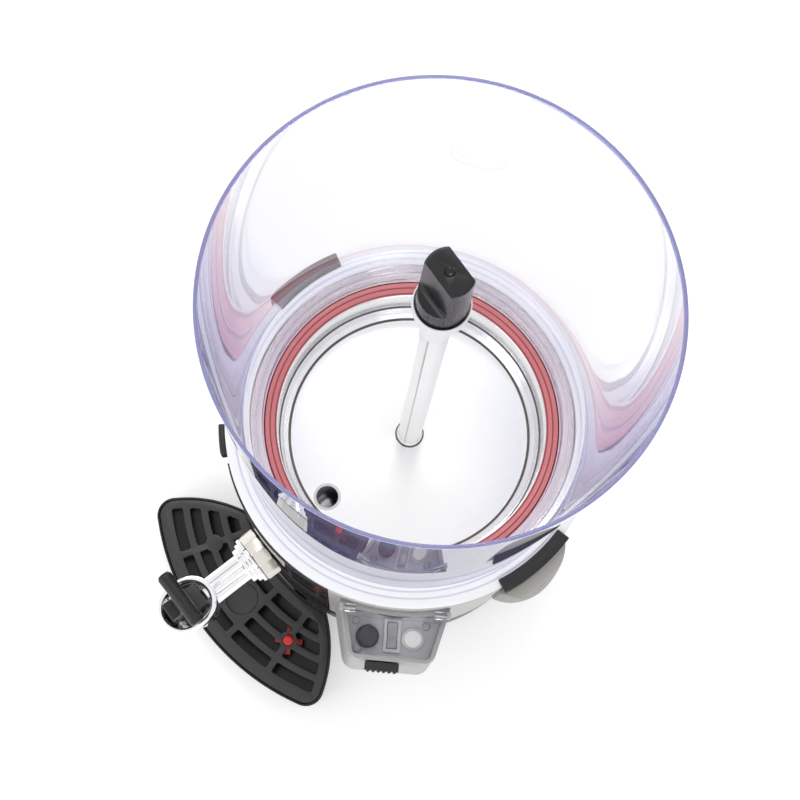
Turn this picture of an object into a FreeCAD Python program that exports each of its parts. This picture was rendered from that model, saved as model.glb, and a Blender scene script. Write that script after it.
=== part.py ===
import FreeCAD, Part
import Sketcher
import math
import os

# A hot chocolate dispenser with a water-heated pan, a clear bowl and a lever tap.
# Millimetres. The origin is on the floor, on the axis of the bowl; the tap points to -Y.
# Pieces off the axis are drawn with their outward direction along +X and turned about Z.

SIZES = {
    # Heights of the machine above the floor
    "foot_height": 5.0,
    "base_top": 58.0,
    "shell_top": 201.0,
    "collar_top": 209.0,
    "plate_height": 170.0,
    "bowl_top": 423.0,
    # Round body
    "body_radius": 107.0,
    "body_wall": 2.2,
    "base_wall": 2.8,
    "base_floor": 3.0,
    "spigot_height": 4.0,
    "seat_gap": 0.3,
    "panel_half_angle": 25.0,
    "panel_gap_angle": 0.4,
    "panel_proud": 0.8,
    "foot_radius": 9.0,
    "foot_circle": 84.0,
    "vent_width": 5.0,
    "vent_inner": 52.0,
    "vent_outer": 72.0,
    # Collar
    "collar_inner": 92.8,
    "collar_ledge": 86.0,
    "collar_foot": 193.0,
    "ledge_thickness": 3.0,
    "collar_round": 2.0,
    "groove_first": 97.3,
    "groove_second": 101.1,
    "groove_half": 0.7,
    # Pan and gasket
    "plate_radius": 71.5,
    "cove_radius": 6.0,
    "pan_radius": 77.2,
    "pan_sheet": 1.5,
    "pan_flange": 91.5,
    "pan_top": 197.5,
    "pan_hole": 6.3,
    "gasket_inner": 77.8,
    "gasket_thickness": 2.5,
    "gasket_lip": 0.6,
    # Bowl
    "bowl_radius": 100.0,
    "bowl_wall": 2.2,
    "bowl_foot_outer": 92.2,
    "bowl_foot_inner": 85.4,
    "bowl_step": 211.0,
    "bowl_shoulder": 226.0,
    "bowl_shoulder_radius": 97.0,
    # Column, shaft and cap
    "shaft_radius": 4.0,
    "shaft_fit": 0.05,
    "column_radius": 6.8,
    "column_bore": 4.8,
    "column_ring": 7.6,
    "column_ring_height": 2.0,
    "column_spigot": 6.0,
    "column_spigot_depth": 10.0,
    "cup_radius": 12.3,
    "cup_bore": 11.6,
    "cup_top": 420.0,
    "cup_floor": 415.5,
    "cup_flare": 30.0,
    "bush_radius": 6.4,
    "bush_length": 12.0,
    "cap_foot_radius": 11.2,
    "cap_top_radius": 10.4,
    "cap_top": 457.0,
    "cap_gap": 0.5,
    "cap_flat": 11.6,
    "cap_flat_foot": 436.0,
    "cap_scoop": 4.0,
    "cap_turn": -3.0,
    "dimple_radius": 2.3,
    "dimple_depth": 1.2,
    "cap_round": 0.8,
    # Water tank
    "tank_radius": 83.0,
    "tank_sheet": 1.2,
    "tank_floor": 114.0,
    "tank_flange": 95.0,
    "tube_outer": 9.0,
    "tube_bore": 7.6,
    "heater_circle": 52.0,
    "heater_tube": 4.0,
    "heater_height": 127.0,
    "heater_gap_angle": 34.0,
    "bulb_radius": 4.5,
    "bulb_place": 70.0,
    "plug_across": 15.0,
    # Drive
    "gear_module": 1.25,
    "wheel_teeth": 60,
    "pinion_teeth": 12,
    "gear_floor": 90.0,
    "gear_width": 7.0,
    "gear_backlash": 0.35,
    "motor_plate_height": 80.0,
    "motor_plate_radius": 62.0,
    "motor_plate_thickness": 2.5,
    "pillar_radius": 4.0,
    "pillar_circle": 54.0,
    "gearbox_wall": 2.5,
    "gearbox_air": 3.0,
    "gearbox_top": 104.0,
    "rotor_radius": 12.0,
    "rotor_height": 22.0,
    "rotor_air": 0.5,
    "stator_width": 52.0,
    "stator_depth": 44.0,
    "motor_shaft_radius": 2.5,
    # Drain and tap
    "tap_azimuth": -90.0,
    "tap_drop": 20.0,
    "drain_place": 62.0,
    "drain_bore": 6.5,
    "tube_wall": 1.5,
    "thread_radius": 11.0,
    "thread_start": 108.3,
    "thread_end": 113.0,
    "washer_thickness": 1.5,
    "tap_reach": 160.5,
    "tap_stretch": 5.2,
    "tap_cup_radius": 14.6,
    "tap_cup_wall": 2.2,
    "cup_rise": 7.0,
    "cup_height": 14.0,
    "tap_body_radius": 13.0,
    "valve_drop": 19.0,
    "tap_bore": 8.6,
    "seat_drop": 11.0,
    "nozzle_radius": 9.0,
    "nozzle_bore": 6.0,
    "spout_drop": 40.0,
    "tap_pipe_radius": 8.75,
    "tap_pipe_bore": 5.5,
    "nut_across": 29.9,
    "nut_start": 108.0,
    "nut_length": 10.0,
    "nut_turn": 15.0,
    "flange_radius": 15.2,
    "flange_step": 2.3,
    "rib_width": 3.0,
    "head_side": 14.0,
    "head_length": 12.0,
    "head_rise": 9.0,
    "head_height": 16.0,
    "pin_reach": 172.0,
    "pin_rise": 16.0,
    "pin_radius": 2.0,
    "pin_fit": 0.06,
    "boss_radius": 4.6,
    "boss_half": 5.0,
    "finger_half": 2.8,
    "finger_thickness": 3.6,
    "grip_reach": 162.7,
    "grip_rise": 55.0,
    "grip_radius": 4.5,
    "grip_length": 33.0,
    "stem_half": 5.4,
    "stem_thickness": 5.4,
    # Drip tray
    "tray_inner": 107.8,
    "tray_outer": 171.4,
    "side_centre_out": 181.4,
    "side_centre_side": 9.0,
    "side_radius": 90.0,
    "hook_side": 22.0,
    "hook_width": 10.0,
    "hook_thickness": 4.0,
    "hook_height": 12.0,
    "hook_gap": 0.4,
    "tray_ledge": 2.0,
    "tray_rim": 1.6,
    "tray_foot": 5.0,
    "tray_top": 25.5,
    "tray_wall": 2.2,
    "tray_floor": 2.5,
    "tray_round": 12.0,
    "grid_gap": 0.35,
    "grid_thickness": 3.5,
    "grid_sink": 1.0,
    "grid_border": 7.5,
    "row_first": 120.2,
    "row_pitch": 12.3,
    "row_width": 7.6,
    "rib_angle": 18.0,
    "middle_angle": 4.9,
    "slot_rib": 4.2,
    "slot_round": 1.6,
    "float_place": 137.2,
    "float_radius": 3.6,
    "vane_half": 9.5,
    "vane_thickness": 4.0,
    "float_fit": 0.3,
    "float_ring": 6.0,
    "dish_place": 138.3,
    "dish_radius": 11.0,
    "dish_ring": 14.0,
    "dish_depth": 1.6,
    # Control box
    "box_azimuth": -43.5,
    "box_foot": 96.0,
    "box_top": 189.0,
    "box_reach": 138.0,
    "box_half_inner": 35.0,
    "box_half_outer": 26.0,
    "box_taper": 2.0,
    "box_wall": 2.5,
    "box_round": 9.0,
    "box_plate_height": 174.0,
    "box_plate_thickness": 2.0,
    "cover_inner": 109.2,
    "cover_reach": 134.6,
    "cover_half_inner": 31.0,
    "cover_half_outer": 22.8,
    "cover_thickness": 2.0,
    "cover_rim": 2.4,
    "cover_round": 7.0,
    "hinge_reach": 107.6,
    "hinge_height": 195.0,
    "hinge_pin_radius": 1.0,
    "hinge_pin_start": 22.0,
    "hinge_pin_length": 7.0,
    "knob_offset": 12.0,
    "knob_side": -14.0,
    "knob_radius": 6.6,
    "knob_height": 9.0,
    "switch_reach": 120.0,
    "switch_length": 19.0,
    "switch_width": 10.0,
    "switch_wall": 1.5,
    "lamp_side": 12.0,
    "lamp_offset": 11.5,
    "lamp_radius": 6.3,
    "latch_side": -4.5,
    "latch_width": 19.0,
    "latch_top": 188.0,
    "latch_height": 15.0,
    "latch_thickness": 4.6,
    # Handles
    "handle_angle": 91.3,
    "handle_half_angle": 12.5,
    "handle_top": 200.0,
    "handle_foot": 158.0,
    "handle_depth": 14.0,
    "handle_swell": 26.3,
    "grip_outer": 110.0,
    "grip_lip": 101.9,
    "grip_thickness": 2.0,
    # Small pieces round the body
    "filler_azimuth": -123.0,
    "filler_half_angle": 4.5,
    "filler_reach": 111.0,
    "filler_foot": 186.0,
    "gland_height": 30.0,
    "gland_bore": 4.0,
    "gland_radius": 7.8,
    "gland_collar": 11.0,
    "running_gap": 0.3,
}

document = FreeCAD.newDocument("Dispenser")
sheet = document.addObject("Spreadsheet::Sheet", "Sizes")
nodes = []


class Size:
    """A length, angle or count with the sheet formula that gives it."""

    def __init__(self, value, formula):
        self.value = float(value)
        self.formula = formula

    def joined(self, sign, other, value):
        return Size(value, f"({self.formula} {sign} {other.formula})")

    def __add__(self, other):
        other = as_size(other)
        return self.joined("+", other, self.value + other.value)

    def __sub__(self, other):
        other = as_size(other)
        return self.joined("-", other, self.value - other.value)

    def __mul__(self, other):
        other = as_size(other)
        return self.joined("*", other, self.value * other.value)

    def __truediv__(self, other):
        other = as_size(other)
        return self.joined("/", other, self.value / other.value)

    def __neg__(self):
        return as_size(0) - self

    def __radd__(self, other):
        return as_size(other) + self

    def __rsub__(self, other):
        return as_size(other) - self

    def __rmul__(self, other):
        return as_size(other) * self


def as_size(number):
    """A plain number as a Size."""
    if isinstance(number, Size):
        return number
    return Size(number, f"{float(number)}")


def sine(angle):
    """Sine of an angle in degrees."""
    angle = as_size(angle)
    return Size(math.sin(math.radians(angle.value)), f"sin({angle.formula})")


def cosine(angle):
    """Cosine of an angle in degrees."""
    angle = as_size(angle)
    return Size(math.cos(math.radians(angle.value)), f"cos({angle.formula})")


def root(square):
    """Square root."""
    square = as_size(square)
    return Size(math.sqrt(square.value), f"sqrt({square.formula})")


class Sheet:
    """The driving sizes, one attribute for each cell of the sheet."""

    def __init__(self, sizes):
        for row, (name, number) in enumerate(sizes.items(), start=1):
            sheet.set(f"A{row}", name)
            sheet.set(f"B{row}", str(number))
            sheet.setAlias(f"B{row}", name)
            setattr(self, name, Size(number, f"Sizes.{name}"))


s = Sheet(SIZES)

# Sizes that follow from others
s.tap_height = s.plate_height - s.tap_drop
s.tap_cup_foot = s.tap_height + s.cup_rise
s.tap_cup_top = s.tap_cup_foot + s.cup_height
s.tap_body_foot = s.tap_height - s.valve_drop
s.tap_seat = s.tap_height - s.seat_drop
s.nozzle_foot = s.tap_height - s.spout_drop
s.head_foot = s.tap_height + s.head_rise
s.head_top = s.head_foot + s.head_height
s.pin_height = s.tap_height + s.pin_rise
s.grip_height = s.tap_height + s.grip_rise
s.knob_reach = s.body_radius + s.box_wall + s.knob_offset
s.lamp_reach = s.body_radius + s.box_wall + s.lamp_offset
s.handle_reach = s.body_radius + s.handle_depth
document.recompute()


def bind(item, path, size):
    """Tie one property of an object to a formula."""
    item.setExpression(path, as_size(size).formula)


def place(item, x=0, y=0, z=0, azimuth=0, tilt=None):
    """Put an object at a place, tilted about Y first and then turned about Z."""
    x, y, z, azimuth = as_size(x), as_size(y), as_size(z), as_size(azimuth)
    turn = FreeCAD.Rotation(FreeCAD.Vector(0, 0, 1), azimuth.value)
    if tilt is not None:
        turn = turn.multiply(FreeCAD.Rotation(FreeCAD.Vector(0, 1, 0), tilt))
    item.Placement = FreeCAD.Placement(FreeCAD.Vector(x.value, y.value, z.value), turn)
    bind(item, "Placement.Base.x", x)
    bind(item, "Placement.Base.y", y)
    bind(item, "Placement.Base.z", z)
    if tilt is None:
        bind(item, "Placement.Rotation.Angle", azimuth)
    return item


def node(item, name):
    """Name an object as one piece of the machine."""
    item.Label = name
    nodes.append(item)
    return item


def primitive(kind, name, **properties):
    """A Part primitive whose sizes follow the sheet."""
    item = document.addObject(f"Part::{kind}", name)
    for path, size in properties.items():
        number = as_size(size).value
        setattr(item, path, int(number) if path == "Polygon" else number)
        bind(item, path, size)
    return item


def cylinder(name, radius, height, x=0, y=0, z=0, azimuth=0, tilt=None):
    """A round bar that rises from its place; tilt 90 lays it along +X."""
    item = primitive("Cylinder", name, Radius=radius, Height=height)
    return place(item, x, y, z, azimuth, tilt)


def block(name, length, width, height, x=0, y=0, z=0):
    """A block from x on, centred on y, from z up."""
    item = primitive("Box", name, Length=length, Width=width, Height=height)
    return place(item, x, y - as_size(width) / 2, z)


def fused(name, *parts):
    """Union of several solids."""
    item = document.addObject("Part::MultiFuse", name)
    item.Shapes = list(parts)
    item.Refine = True
    return item


def common(name, *parts):
    """What several solids share."""
    item = document.addObject("Part::MultiCommon", name)
    item.Shapes = list(parts)
    return item


def cut(name, base, *tools):
    """A solid less its tools."""
    item = document.addObject("Part::Cut", name)
    item.Base = base
    item.Tool = tools[0] if len(tools) == 1 else fused(f"{name}_tools", *tools)
    item.Refine = True
    return item


def group(name, *parts):
    """Separate solids kept as one piece of the list."""
    item = document.addObject("Part::Compound", name)
    item.Links = list(parts)
    return item


def origin_plane(body, role):
    """One of a body's own planes."""
    return next(plane for plane in body.Origin.OriginFeatures if plane.Role == role)


def edge_between(start, stop):
    """Line, or arc when the stop has a bend, between two outline points."""
    begin = FreeCAD.Vector(as_size(start[0]).value, as_size(start[1]).value, 0)
    end = FreeCAD.Vector(as_size(stop[0]).value, as_size(stop[1]).value, 0)
    if len(stop) == 2:
        return Part.LineSegment(begin, end)
    bend = as_size(stop[2]).value
    chord = end - begin
    right = FreeCAD.Vector(chord.y, -chord.x, 0).normalize()
    rise = abs(bend) - math.sqrt(bend * bend - chord.Length ** 2 / 4)
    middle = (begin + end) * 0.5 + right * math.copysign(rise, bend)
    return Part.Arc(begin, middle, end)


def draw(sketch, points):
    """Closed outline through the points, each tied to its formulas.

    A third number in a point bends the edge that ends there to that radius; a positive
    one swells to the right of the way of travel.
    """
    ends = []
    for index, stop in enumerate(points):
        start = points[index - 1]
        edge = sketch.addGeometry(edge_between(start, stop), False)
        begin = FreeCAD.Vector(as_size(start[0]).value, as_size(start[1]).value, 0)
        near = sketch.getPoint(edge, 1).distanceToPoint(begin) < 1e-6
        ends.append((edge, 1 if near else 2))
    rules = []
    formulas = []
    for index, (edge, first) in enumerate(ends):
        next_edge, next_first = ends[(index + 1) % len(ends)]
        rules.append(Sketcher.Constraint("Coincident", edge, 3 - first, next_edge, next_first))
        formulas.append(None)
        for kind, size in zip(("DistanceX", "DistanceY"), points[index - 1][:2]):
            rules.append(Sketcher.Constraint(kind, -1, 1, edge, first, as_size(size).value))
            formulas.append(as_size(size))
        if len(points[index]) == 3:
            bend = as_size(points[index][2])
            radius = bend if bend.value > 0 else -bend
            rules.append(Sketcher.Constraint("Radius", edge, radius.value))
            formulas.append(radius)
    rows = sketch.addConstraint(rules)
    for row, formula in zip(rows, formulas):
        if formula is not None:
            bind(sketch, f"Constraints[{row}]", formula)


def new_sketch(body, name, role, lift=0):
    """Empty sketch on one of the body's own planes."""
    sketch = body.newObject("Sketcher::SketchObject", name)
    sketch.AttachmentSupport = [(origin_plane(body, role), "")]
    sketch.MapMode = "FlatFace"
    lift = as_size(lift)
    sketch.AttachmentOffset = FreeCAD.Placement(FreeCAD.Vector(0, 0, lift.value), FreeCAD.Rotation())
    bind(sketch, "AttachmentOffset.Base.z", lift)
    return sketch


def turned(name, points, angle=360):
    """Body turned about Z from a half profile of (radius, height) points."""
    body = document.addObject("PartDesign::Body", name)
    sketch = new_sketch(body, f"{name}_profile", "XZ_Plane")
    draw(sketch, points)
    feature = body.newObject("PartDesign::Revolution", f"{name}_turn")
    feature.Profile = sketch
    feature.ReferenceAxis = (sketch, ["V_Axis"])
    angle = as_size(angle)
    feature.Midplane = True
    feature.Angle = angle.value
    bind(feature, "Angle", angle)
    return body


def padded(name, points, foot, height, taper=0, role="XY_Plane"):
    """Body raised from a plan outline."""
    body = document.addObject("PartDesign::Body", name)
    sketch = new_sketch(body, f"{name}_outline", role, foot)
    draw(sketch, points)
    feature = body.newObject("PartDesign::Pad", f"{name}_pad")
    feature.Profile = sketch
    feature.Length = as_size(height).value
    bind(feature, "Length", height)
    if as_size(taper).value:
        feature.TaperAngle = as_size(taper).value
        bind(feature, "TaperAngle", taper)
    return body


def slab(name, points, half_width):
    """Body of even width about the XZ plane, from a side outline of (x, z) points."""
    body = document.addObject("PartDesign::Body", name)
    sketch = new_sketch(body, f"{name}_side", "XZ_Plane")
    draw(sketch, points)
    feature = body.newObject("PartDesign::Pad", f"{name}_width")
    feature.Profile = sketch
    feature.Midplane = True
    feature.Length = (2 * as_size(half_width)).value
    bind(feature, "Length", 2 * as_size(half_width))
    return body


def upright_edges(shape, keep=lambda edge: True):
    """Numbers of the straight edges along Z that pass the test."""
    found = []
    for number, edge in enumerate(shape.Edges, start=1):
        ends = [vertex.Point for vertex in edge.Vertexes]
        if len(ends) == 2 and abs(ends[0].x - ends[1].x) + abs(ends[0].y - ends[1].y) < 1e-6:
            if keep(edge):
                found.append(number)
    return found


def rounded(name, base, radius, numbers):
    """Fillet of one radius on numbered edges."""
    item = document.addObject("Part::Fillet", name)
    item.Base = base
    radius = as_size(radius).value
    item.Edges = [(number, radius, radius) for number in numbers]
    return item


def polar(radius, angle):
    """Point at a radius and an angle from +X."""
    return radius * cosine(angle), radius * sine(angle)


# Round body

def make_base():
    """Black base moulding with its floor, vents and the gland's hole."""
    outer = s.body_radius
    spigot = s.body_radius - s.body_wall - s.seat_gap
    inner = s.body_radius - s.body_wall - s.base_wall
    floor_top = s.foot_height + s.base_floor
    base = turned("base_profile", [
        (0, s.foot_height),
        (outer - 3, s.foot_height),
        (outer, s.foot_height + 3, 3),
        (outer, s.base_top),
        (spigot, s.base_top),
        (spigot, s.base_top + s.spigot_height),
        (inner, s.base_top + s.spigot_height),
        (inner, floor_top),
        (0, floor_top),
    ])
    tools = []
    for index in range(12):
        vent = block(f"vent_{index}", s.vent_outer - s.vent_inner, s.vent_width,
                     2 * s.base_floor, s.vent_inner, 0, s.foot_height - 1)
        tools.append(place(group(f"vent_turned_{index}", vent), azimuth=30 * index))
    gland = cylinder("gland_hole", s.gland_radius + s.running_gap, 20, 0,
                     s.body_radius - 12, s.gland_height, 90, 90)
    tools.append(gland)
    for index, side in enumerate((-1, 1)):
        slot = block(f"hook_slot_{index}", 2 * s.tray_wall + 12, s.hook_width + 2 * s.hook_gap,
                     s.hook_thickness + 2 * s.hook_gap, s.body_radius - 14, side * s.hook_side,
                     s.hook_height - s.hook_gap)
        tools.append(place(group(f"hook_slot_turned_{index}", slot), azimuth=s.tap_azimuth))
    node(cut("base_ring", base, *tools), "base_ring")


def make_feet():
    """Four rubber feet under the base."""
    feet = []
    for index in range(4):
        x, y = polar(s.foot_circle, 45 + 90 * index)
        foot = primitive("Cone", f"foot_{index}", Radius1=s.foot_radius - 1, Radius2=s.foot_radius,
                         Height=s.foot_height)
        feet.append(place(foot, x, y, 0))
    node(group("rubber_feet", *feet), "rubber_feet")


def make_shell():
    """Silver shell round the machine, open at the front for the black panel."""
    outer = s.body_radius
    inner = s.body_radius - s.body_wall
    span = 360 - 2 * (s.panel_half_angle + s.panel_gap_angle)
    shell = turned("shell_profile", [
        (inner, s.base_top),
        (outer, s.base_top),
        (outer, s.shell_top),
        (inner, s.shell_top),
    ], span)
    place(shell, azimuth=s.tap_azimuth + 180)
    window = block("shell_window", 20, 30, 50, s.body_radius - 12, 0, s.box_foot + 12)
    window = place(group("shell_window_turned", window), azimuth=s.box_azimuth)
    node(cut("body_shell", shell, window), "body_shell")


def make_front_panel():
    """Glossy black panel behind the tap, a little proud of the shell."""
    outer = s.body_radius + s.panel_proud
    inner = s.body_radius - s.body_wall
    panel = turned("panel_profile", [
        (inner, s.base_top),
        (outer - 1.5, s.base_top),
        (outer, s.base_top + 1.5, 1.5),
        (outer, s.shell_top),
        (inner, s.shell_top),
    ], 2 * s.panel_half_angle)
    hole = cylinder("panel_hole", s.thread_radius + 1.5, 20, s.body_radius - 12, 0,
                    s.tap_height, 0, 90)
    panel_cut = cut("front_panel", panel, hole)
    node(place(panel_cut, azimuth=s.tap_azimuth), "front_panel")


def make_collar():
    """White ring round the foot of the bowl, with two fine grooves and a ledge inside."""
    outer = s.body_radius - 0.4
    spigot = s.body_radius - s.body_wall - s.seat_gap
    top = s.collar_top
    ledge_top = s.collar_foot + s.ledge_thickness
    hollow_inner = s.collar_inner + s.ledge_thickness
    hollow_outer = spigot - s.ledge_thickness
    profile = [
        (s.collar_ledge, s.collar_foot),
        (hollow_inner, s.collar_foot),
        (hollow_inner, top - 4),
        (hollow_outer, top - 4),
        (hollow_outer, s.collar_foot),
        (spigot, s.collar_foot),
        (spigot, s.shell_top),
        (outer, s.shell_top),
        (outer, top - s.collar_round),
        (outer - s.collar_round, top, s.collar_round),
    ]
    for groove in (s.groove_second, s.groove_first):
        profile += [
            (groove + s.groove_half, top),
            (groove, top - s.groove_half),
            (groove - s.groove_half, top),
        ]
    profile += [
        (s.collar_inner + 1.5, top),
        (s.collar_inner, top - 1.5, 1.5),
        (s.collar_inner, ledge_top),
        (s.collar_ledge, ledge_top),
    ]
    node(turned("top_collar", profile), "top_collar")


def make_bowl():
    """Clear flared bowl without a floor: its foot stands on the gasket."""
    foot = s.pan_top + s.gasket_thickness + s.running_gap
    lean = (s.bowl_radius - s.bowl_shoulder_radius) / (s.bowl_top - s.bowl_shoulder)
    rim_outer = s.bowl_radius - 1.1 * lean
    node(turned("bowl", [
        (s.bowl_foot_inner, foot),
        (s.bowl_foot_outer, foot),
        (s.bowl_foot_outer, s.bowl_step + 1),
        (s.bowl_shoulder_radius, s.bowl_shoulder, -24),
        (rim_outer, s.bowl_top - 1.1),
        (rim_outer - s.bowl_wall, s.bowl_top - 1.1, s.bowl_wall / 2 + 0.002),
        (s.bowl_shoulder_radius - s.bowl_wall, s.bowl_shoulder),
        (s.bowl_foot_inner + 3.5, s.bowl_step + 2, 22),
        (s.bowl_foot_inner, s.bowl_step),
    ]), "bowl")


# Pan and column

def make_pan():
    """Steel pan: heated plate, coved corner, straight wall and flange."""
    sheet_size = s.pan_sheet
    wall_inner = s.pan_radius
    cove_top = s.plate_height + s.cove_radius
    pan = turned("pan_profile", [
        (s.pan_hole, s.plate_height - sheet_size),
        (s.plate_radius, s.plate_height - sheet_size),
        (wall_inner + sheet_size, cove_top, s.cove_radius + 2 * sheet_size),
        (wall_inner + sheet_size, s.pan_top - sheet_size),
        (s.pan_flange, s.pan_top - sheet_size),
        (s.pan_flange, s.pan_top),
        (wall_inner, s.pan_top),
        (wall_inner, cove_top + 0.6),
        (wall_inner - 0.6, cove_top),
        (s.plate_radius + 0.7, s.plate_height + 0.25, -s.cove_radius - sheet_size),
        (s.plate_radius, s.plate_height - 0.8),
        (s.plate_radius - 0.8, s.plate_height),
        (s.pan_hole, s.plate_height),
    ])
    x, y = polar(s.drain_place, s.tap_azimuth)
    hole = cylinder("drain_hole", s.drain_bore + s.tube_wall + 0.05, 10, x, y, s.plate_height - 5)
    node(cut("pan", pan, hole), "pan")


def make_gasket():
    """Red gasket: an outer band, a groove and an inner lip that runs down into the pan."""
    foot = s.pan_top
    top = s.pan_top + s.gasket_thickness
    seat = s.bowl_foot_inner - 0.3
    node(turned("bowl_gasket", [
        (s.gasket_inner, foot),
        (s.bowl_foot_outer, foot),
        (s.bowl_foot_outer, top),
        (seat, top),
        (seat, top + s.gasket_lip),
        (seat - 3.2, top + s.gasket_lip),
        (seat - 3.6, top - 0.8),
        (seat - 4.1, top - 0.1),
        (s.gasket_inner + 1.6, top - 0.6),
        (s.gasket_inner, foot + 0.9, 2),
    ]), "bowl_gasket")


def make_column():
    """White column: spigot, base ring, tube and the cup under the drive cap."""
    flare_foot = s.cup_floor - s.cup_flare
    node(turned("column_tube", [
        (s.column_bore, s.plate_height - s.column_spigot_depth),
        (s.column_spigot, s.plate_height - s.column_spigot_depth),
        (s.column_spigot, s.plate_height),
        (s.column_ring, s.plate_height),
        (s.column_ring, s.plate_height + s.column_ring_height),
        (s.column_radius, s.plate_height + s.column_ring_height + 0.8),
        (s.column_radius, flare_foot),
        (s.cup_radius, s.cup_floor - 2, 60),
        (s.cup_radius, s.cup_top - 0.6),
        (s.cup_radius - 0.35, s.cup_top, 0.35),
        (s.cup_bore, s.cup_top),
        (s.cup_bore, s.cup_floor),
        (s.bush_radius + 0.02, s.cup_floor),
        (s.bush_radius + 0.02, s.cup_floor - s.bush_length),
        (s.column_bore, s.cup_floor - s.bush_length),
    ]), "column_tube")
    node(turned("column_bush", [
        (s.shaft_radius + s.shaft_fit, s.cup_floor - s.bush_length + 0.1),
        (s.bush_radius, s.cup_floor - s.bush_length + 0.1),
        (s.bush_radius, s.cup_floor - 0.1),
        (s.shaft_radius + s.shaft_fit, s.cup_floor - 0.1),
    ]), "column_bush")


def make_cap():
    """Black drive cap: a tapered plug with two flats, scooped ledges and a dimple."""
    foot = s.cup_floor + s.cap_gap
    round_size = s.cap_round
    plug = turned("cap_profile", [
        (0, foot),
        (s.cap_foot_radius, foot),
        (s.cap_top_radius, s.cap_top - round_size),
        (s.cap_top_radius - round_size, s.cap_top, round_size),
        (0, s.cap_top),
    ])
    tools = []
    flat_height = s.cap_top - s.cap_flat_foot + 1
    for index, side in enumerate((1, -1)):
        reach = s.cap_flat / 2 if side > 0 else -(s.cap_flat / 2) - s.cap_foot_radius
        flat = primitive("Box", f"cap_flat_{index}", Length=3 * s.cap_foot_radius,
                         Width=s.cap_foot_radius, Height=flat_height)
        tools.append(place(flat, -1.5 * s.cap_foot_radius, reach, s.cap_flat_foot))
        scoop = cylinder(f"cap_scoop_{index}", s.cap_scoop, 3 * s.cap_foot_radius,
                         -1.5 * s.cap_foot_radius, side * (s.cap_flat / 2 + s.cap_scoop),
                         s.cap_flat_foot, 0, 90)
        tools.append(scoop)
    ball_radius = (s.dimple_radius * s.dimple_radius / s.dimple_depth + s.dimple_depth) / 2
    dimple = primitive("Sphere", "cap_dimple", Radius=ball_radius)
    tools.append(place(dimple, 0, 0, s.cap_top + ball_radius - s.dimple_depth))
    tools.append(cylinder("cap_bore", s.shaft_radius + 0.02, 30, 0, 0, foot - 1))
    node(place(cut("coupling_cap", plug, *tools), azimuth=s.cap_turn), "coupling_cap")


def make_shaft():
    """Steel drive shaft from the gearbox to the cap."""
    foot = s.motor_plate_height + s.motor_plate_thickness + s.gearbox_wall + 1
    top = s.cup_floor + s.cap_gap + 28
    node(turned("drive_shaft", [
        (0, foot),
        (s.shaft_radius - 0.5, foot),
        (s.shaft_radius, foot + 0.5),
        (s.shaft_radius, top - 0.5),
        (s.shaft_radius - 0.5, top),
        (0, top),
    ]), "drive_shaft")


# Water tank

def make_tank():
    """Steel water tank hung under the collar, with the holes of what passes its wall."""
    inner = s.tank_radius - s.tank_sheet
    flange_top = s.collar_foot
    floor_top = s.tank_floor + s.tank_sheet
    tank = turned("tank_profile", [
        (s.tube_outer + 0.1, s.tank_floor),
        (s.tank_radius - 4, s.tank_floor),
        (s.tank_radius, s.tank_floor + 4, 4),
        (s.tank_radius, flange_top - s.tank_sheet),
        (s.tank_flange, flange_top - s.tank_sheet),
        (s.tank_flange, flange_top),
        (inner, flange_top),
        (inner, floor_top + 4),
        (inner - 4, floor_top, -4),
        (s.tube_outer + 0.1, floor_top),
    ])
    outer_tube = s.drain_bore + s.tube_wall
    pipe_hole = cylinder("tank_pipe_hole", outer_tube + 0.2, 12, s.tank_radius - 8, 0,
                         s.tap_height, 0, 90)
    pipe_hole = place(group("tank_pipe_hole_turned", pipe_hole), azimuth=s.tap_azimuth)
    tools = [pipe_hole]
    for name, radius, (x, y) in tank_floor_holes():
        tools.append(cylinder(f"tank_{name}_hole", radius + 0.1, 10, x, y, s.tank_floor - 4))
    node(cut("boiler_tank", tank, *tools), "boiler_tank")
    node(turned("center_tube", [
        (s.tube_bore, s.tank_floor - 1),
        (s.tube_outer, s.tank_floor - 1),
        (s.tube_outer, s.plate_height - s.pan_sheet),
        (s.tube_bore, s.plate_height - s.pan_sheet),
    ]), "center_tube")


def tank_floor_holes():
    """Name, radius and place of each hole in the floor of the tank."""
    half_gap = s.heater_gap_angle / 2
    return [
        ("heater_left", s.heater_tube, polar(s.heater_circle, 90 + half_gap)),
        ("heater_right", s.heater_tube, polar(s.heater_circle, 90 - half_gap)),
        ("bulb", s.bulb_radius, polar(s.bulb_place, s.box_azimuth)),
        ("plug", as_size(4), polar(s.bulb_place, 180)),
    ]


def make_heater():
    """Bent tube heater: a ring open at the back with two legs down through the floor."""
    half_gap = s.heater_gap_angle / 2
    ring = primitive("Torus", "heater_ring", Radius1=s.heater_circle, Radius2=s.heater_tube,
                     Angle3=360 - s.heater_gap_angle)
    parts = [place(ring, 0, 0, s.heater_height, 90 + half_gap)]
    foot = s.tank_floor - 8
    for index, angle in enumerate((90 + half_gap, 90 - half_gap)):
        x, y = polar(s.heater_circle, angle)
        parts.append(cylinder(f"heater_leg_{index}", s.heater_tube, s.heater_height - foot, x, y, foot))
        knee = primitive("Sphere", f"heater_knee_{index}", Radius=s.heater_tube)
        parts.append(place(knee, x, y, s.heater_height))
    node(fused("heating_element", *parts), "heating_element")


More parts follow.
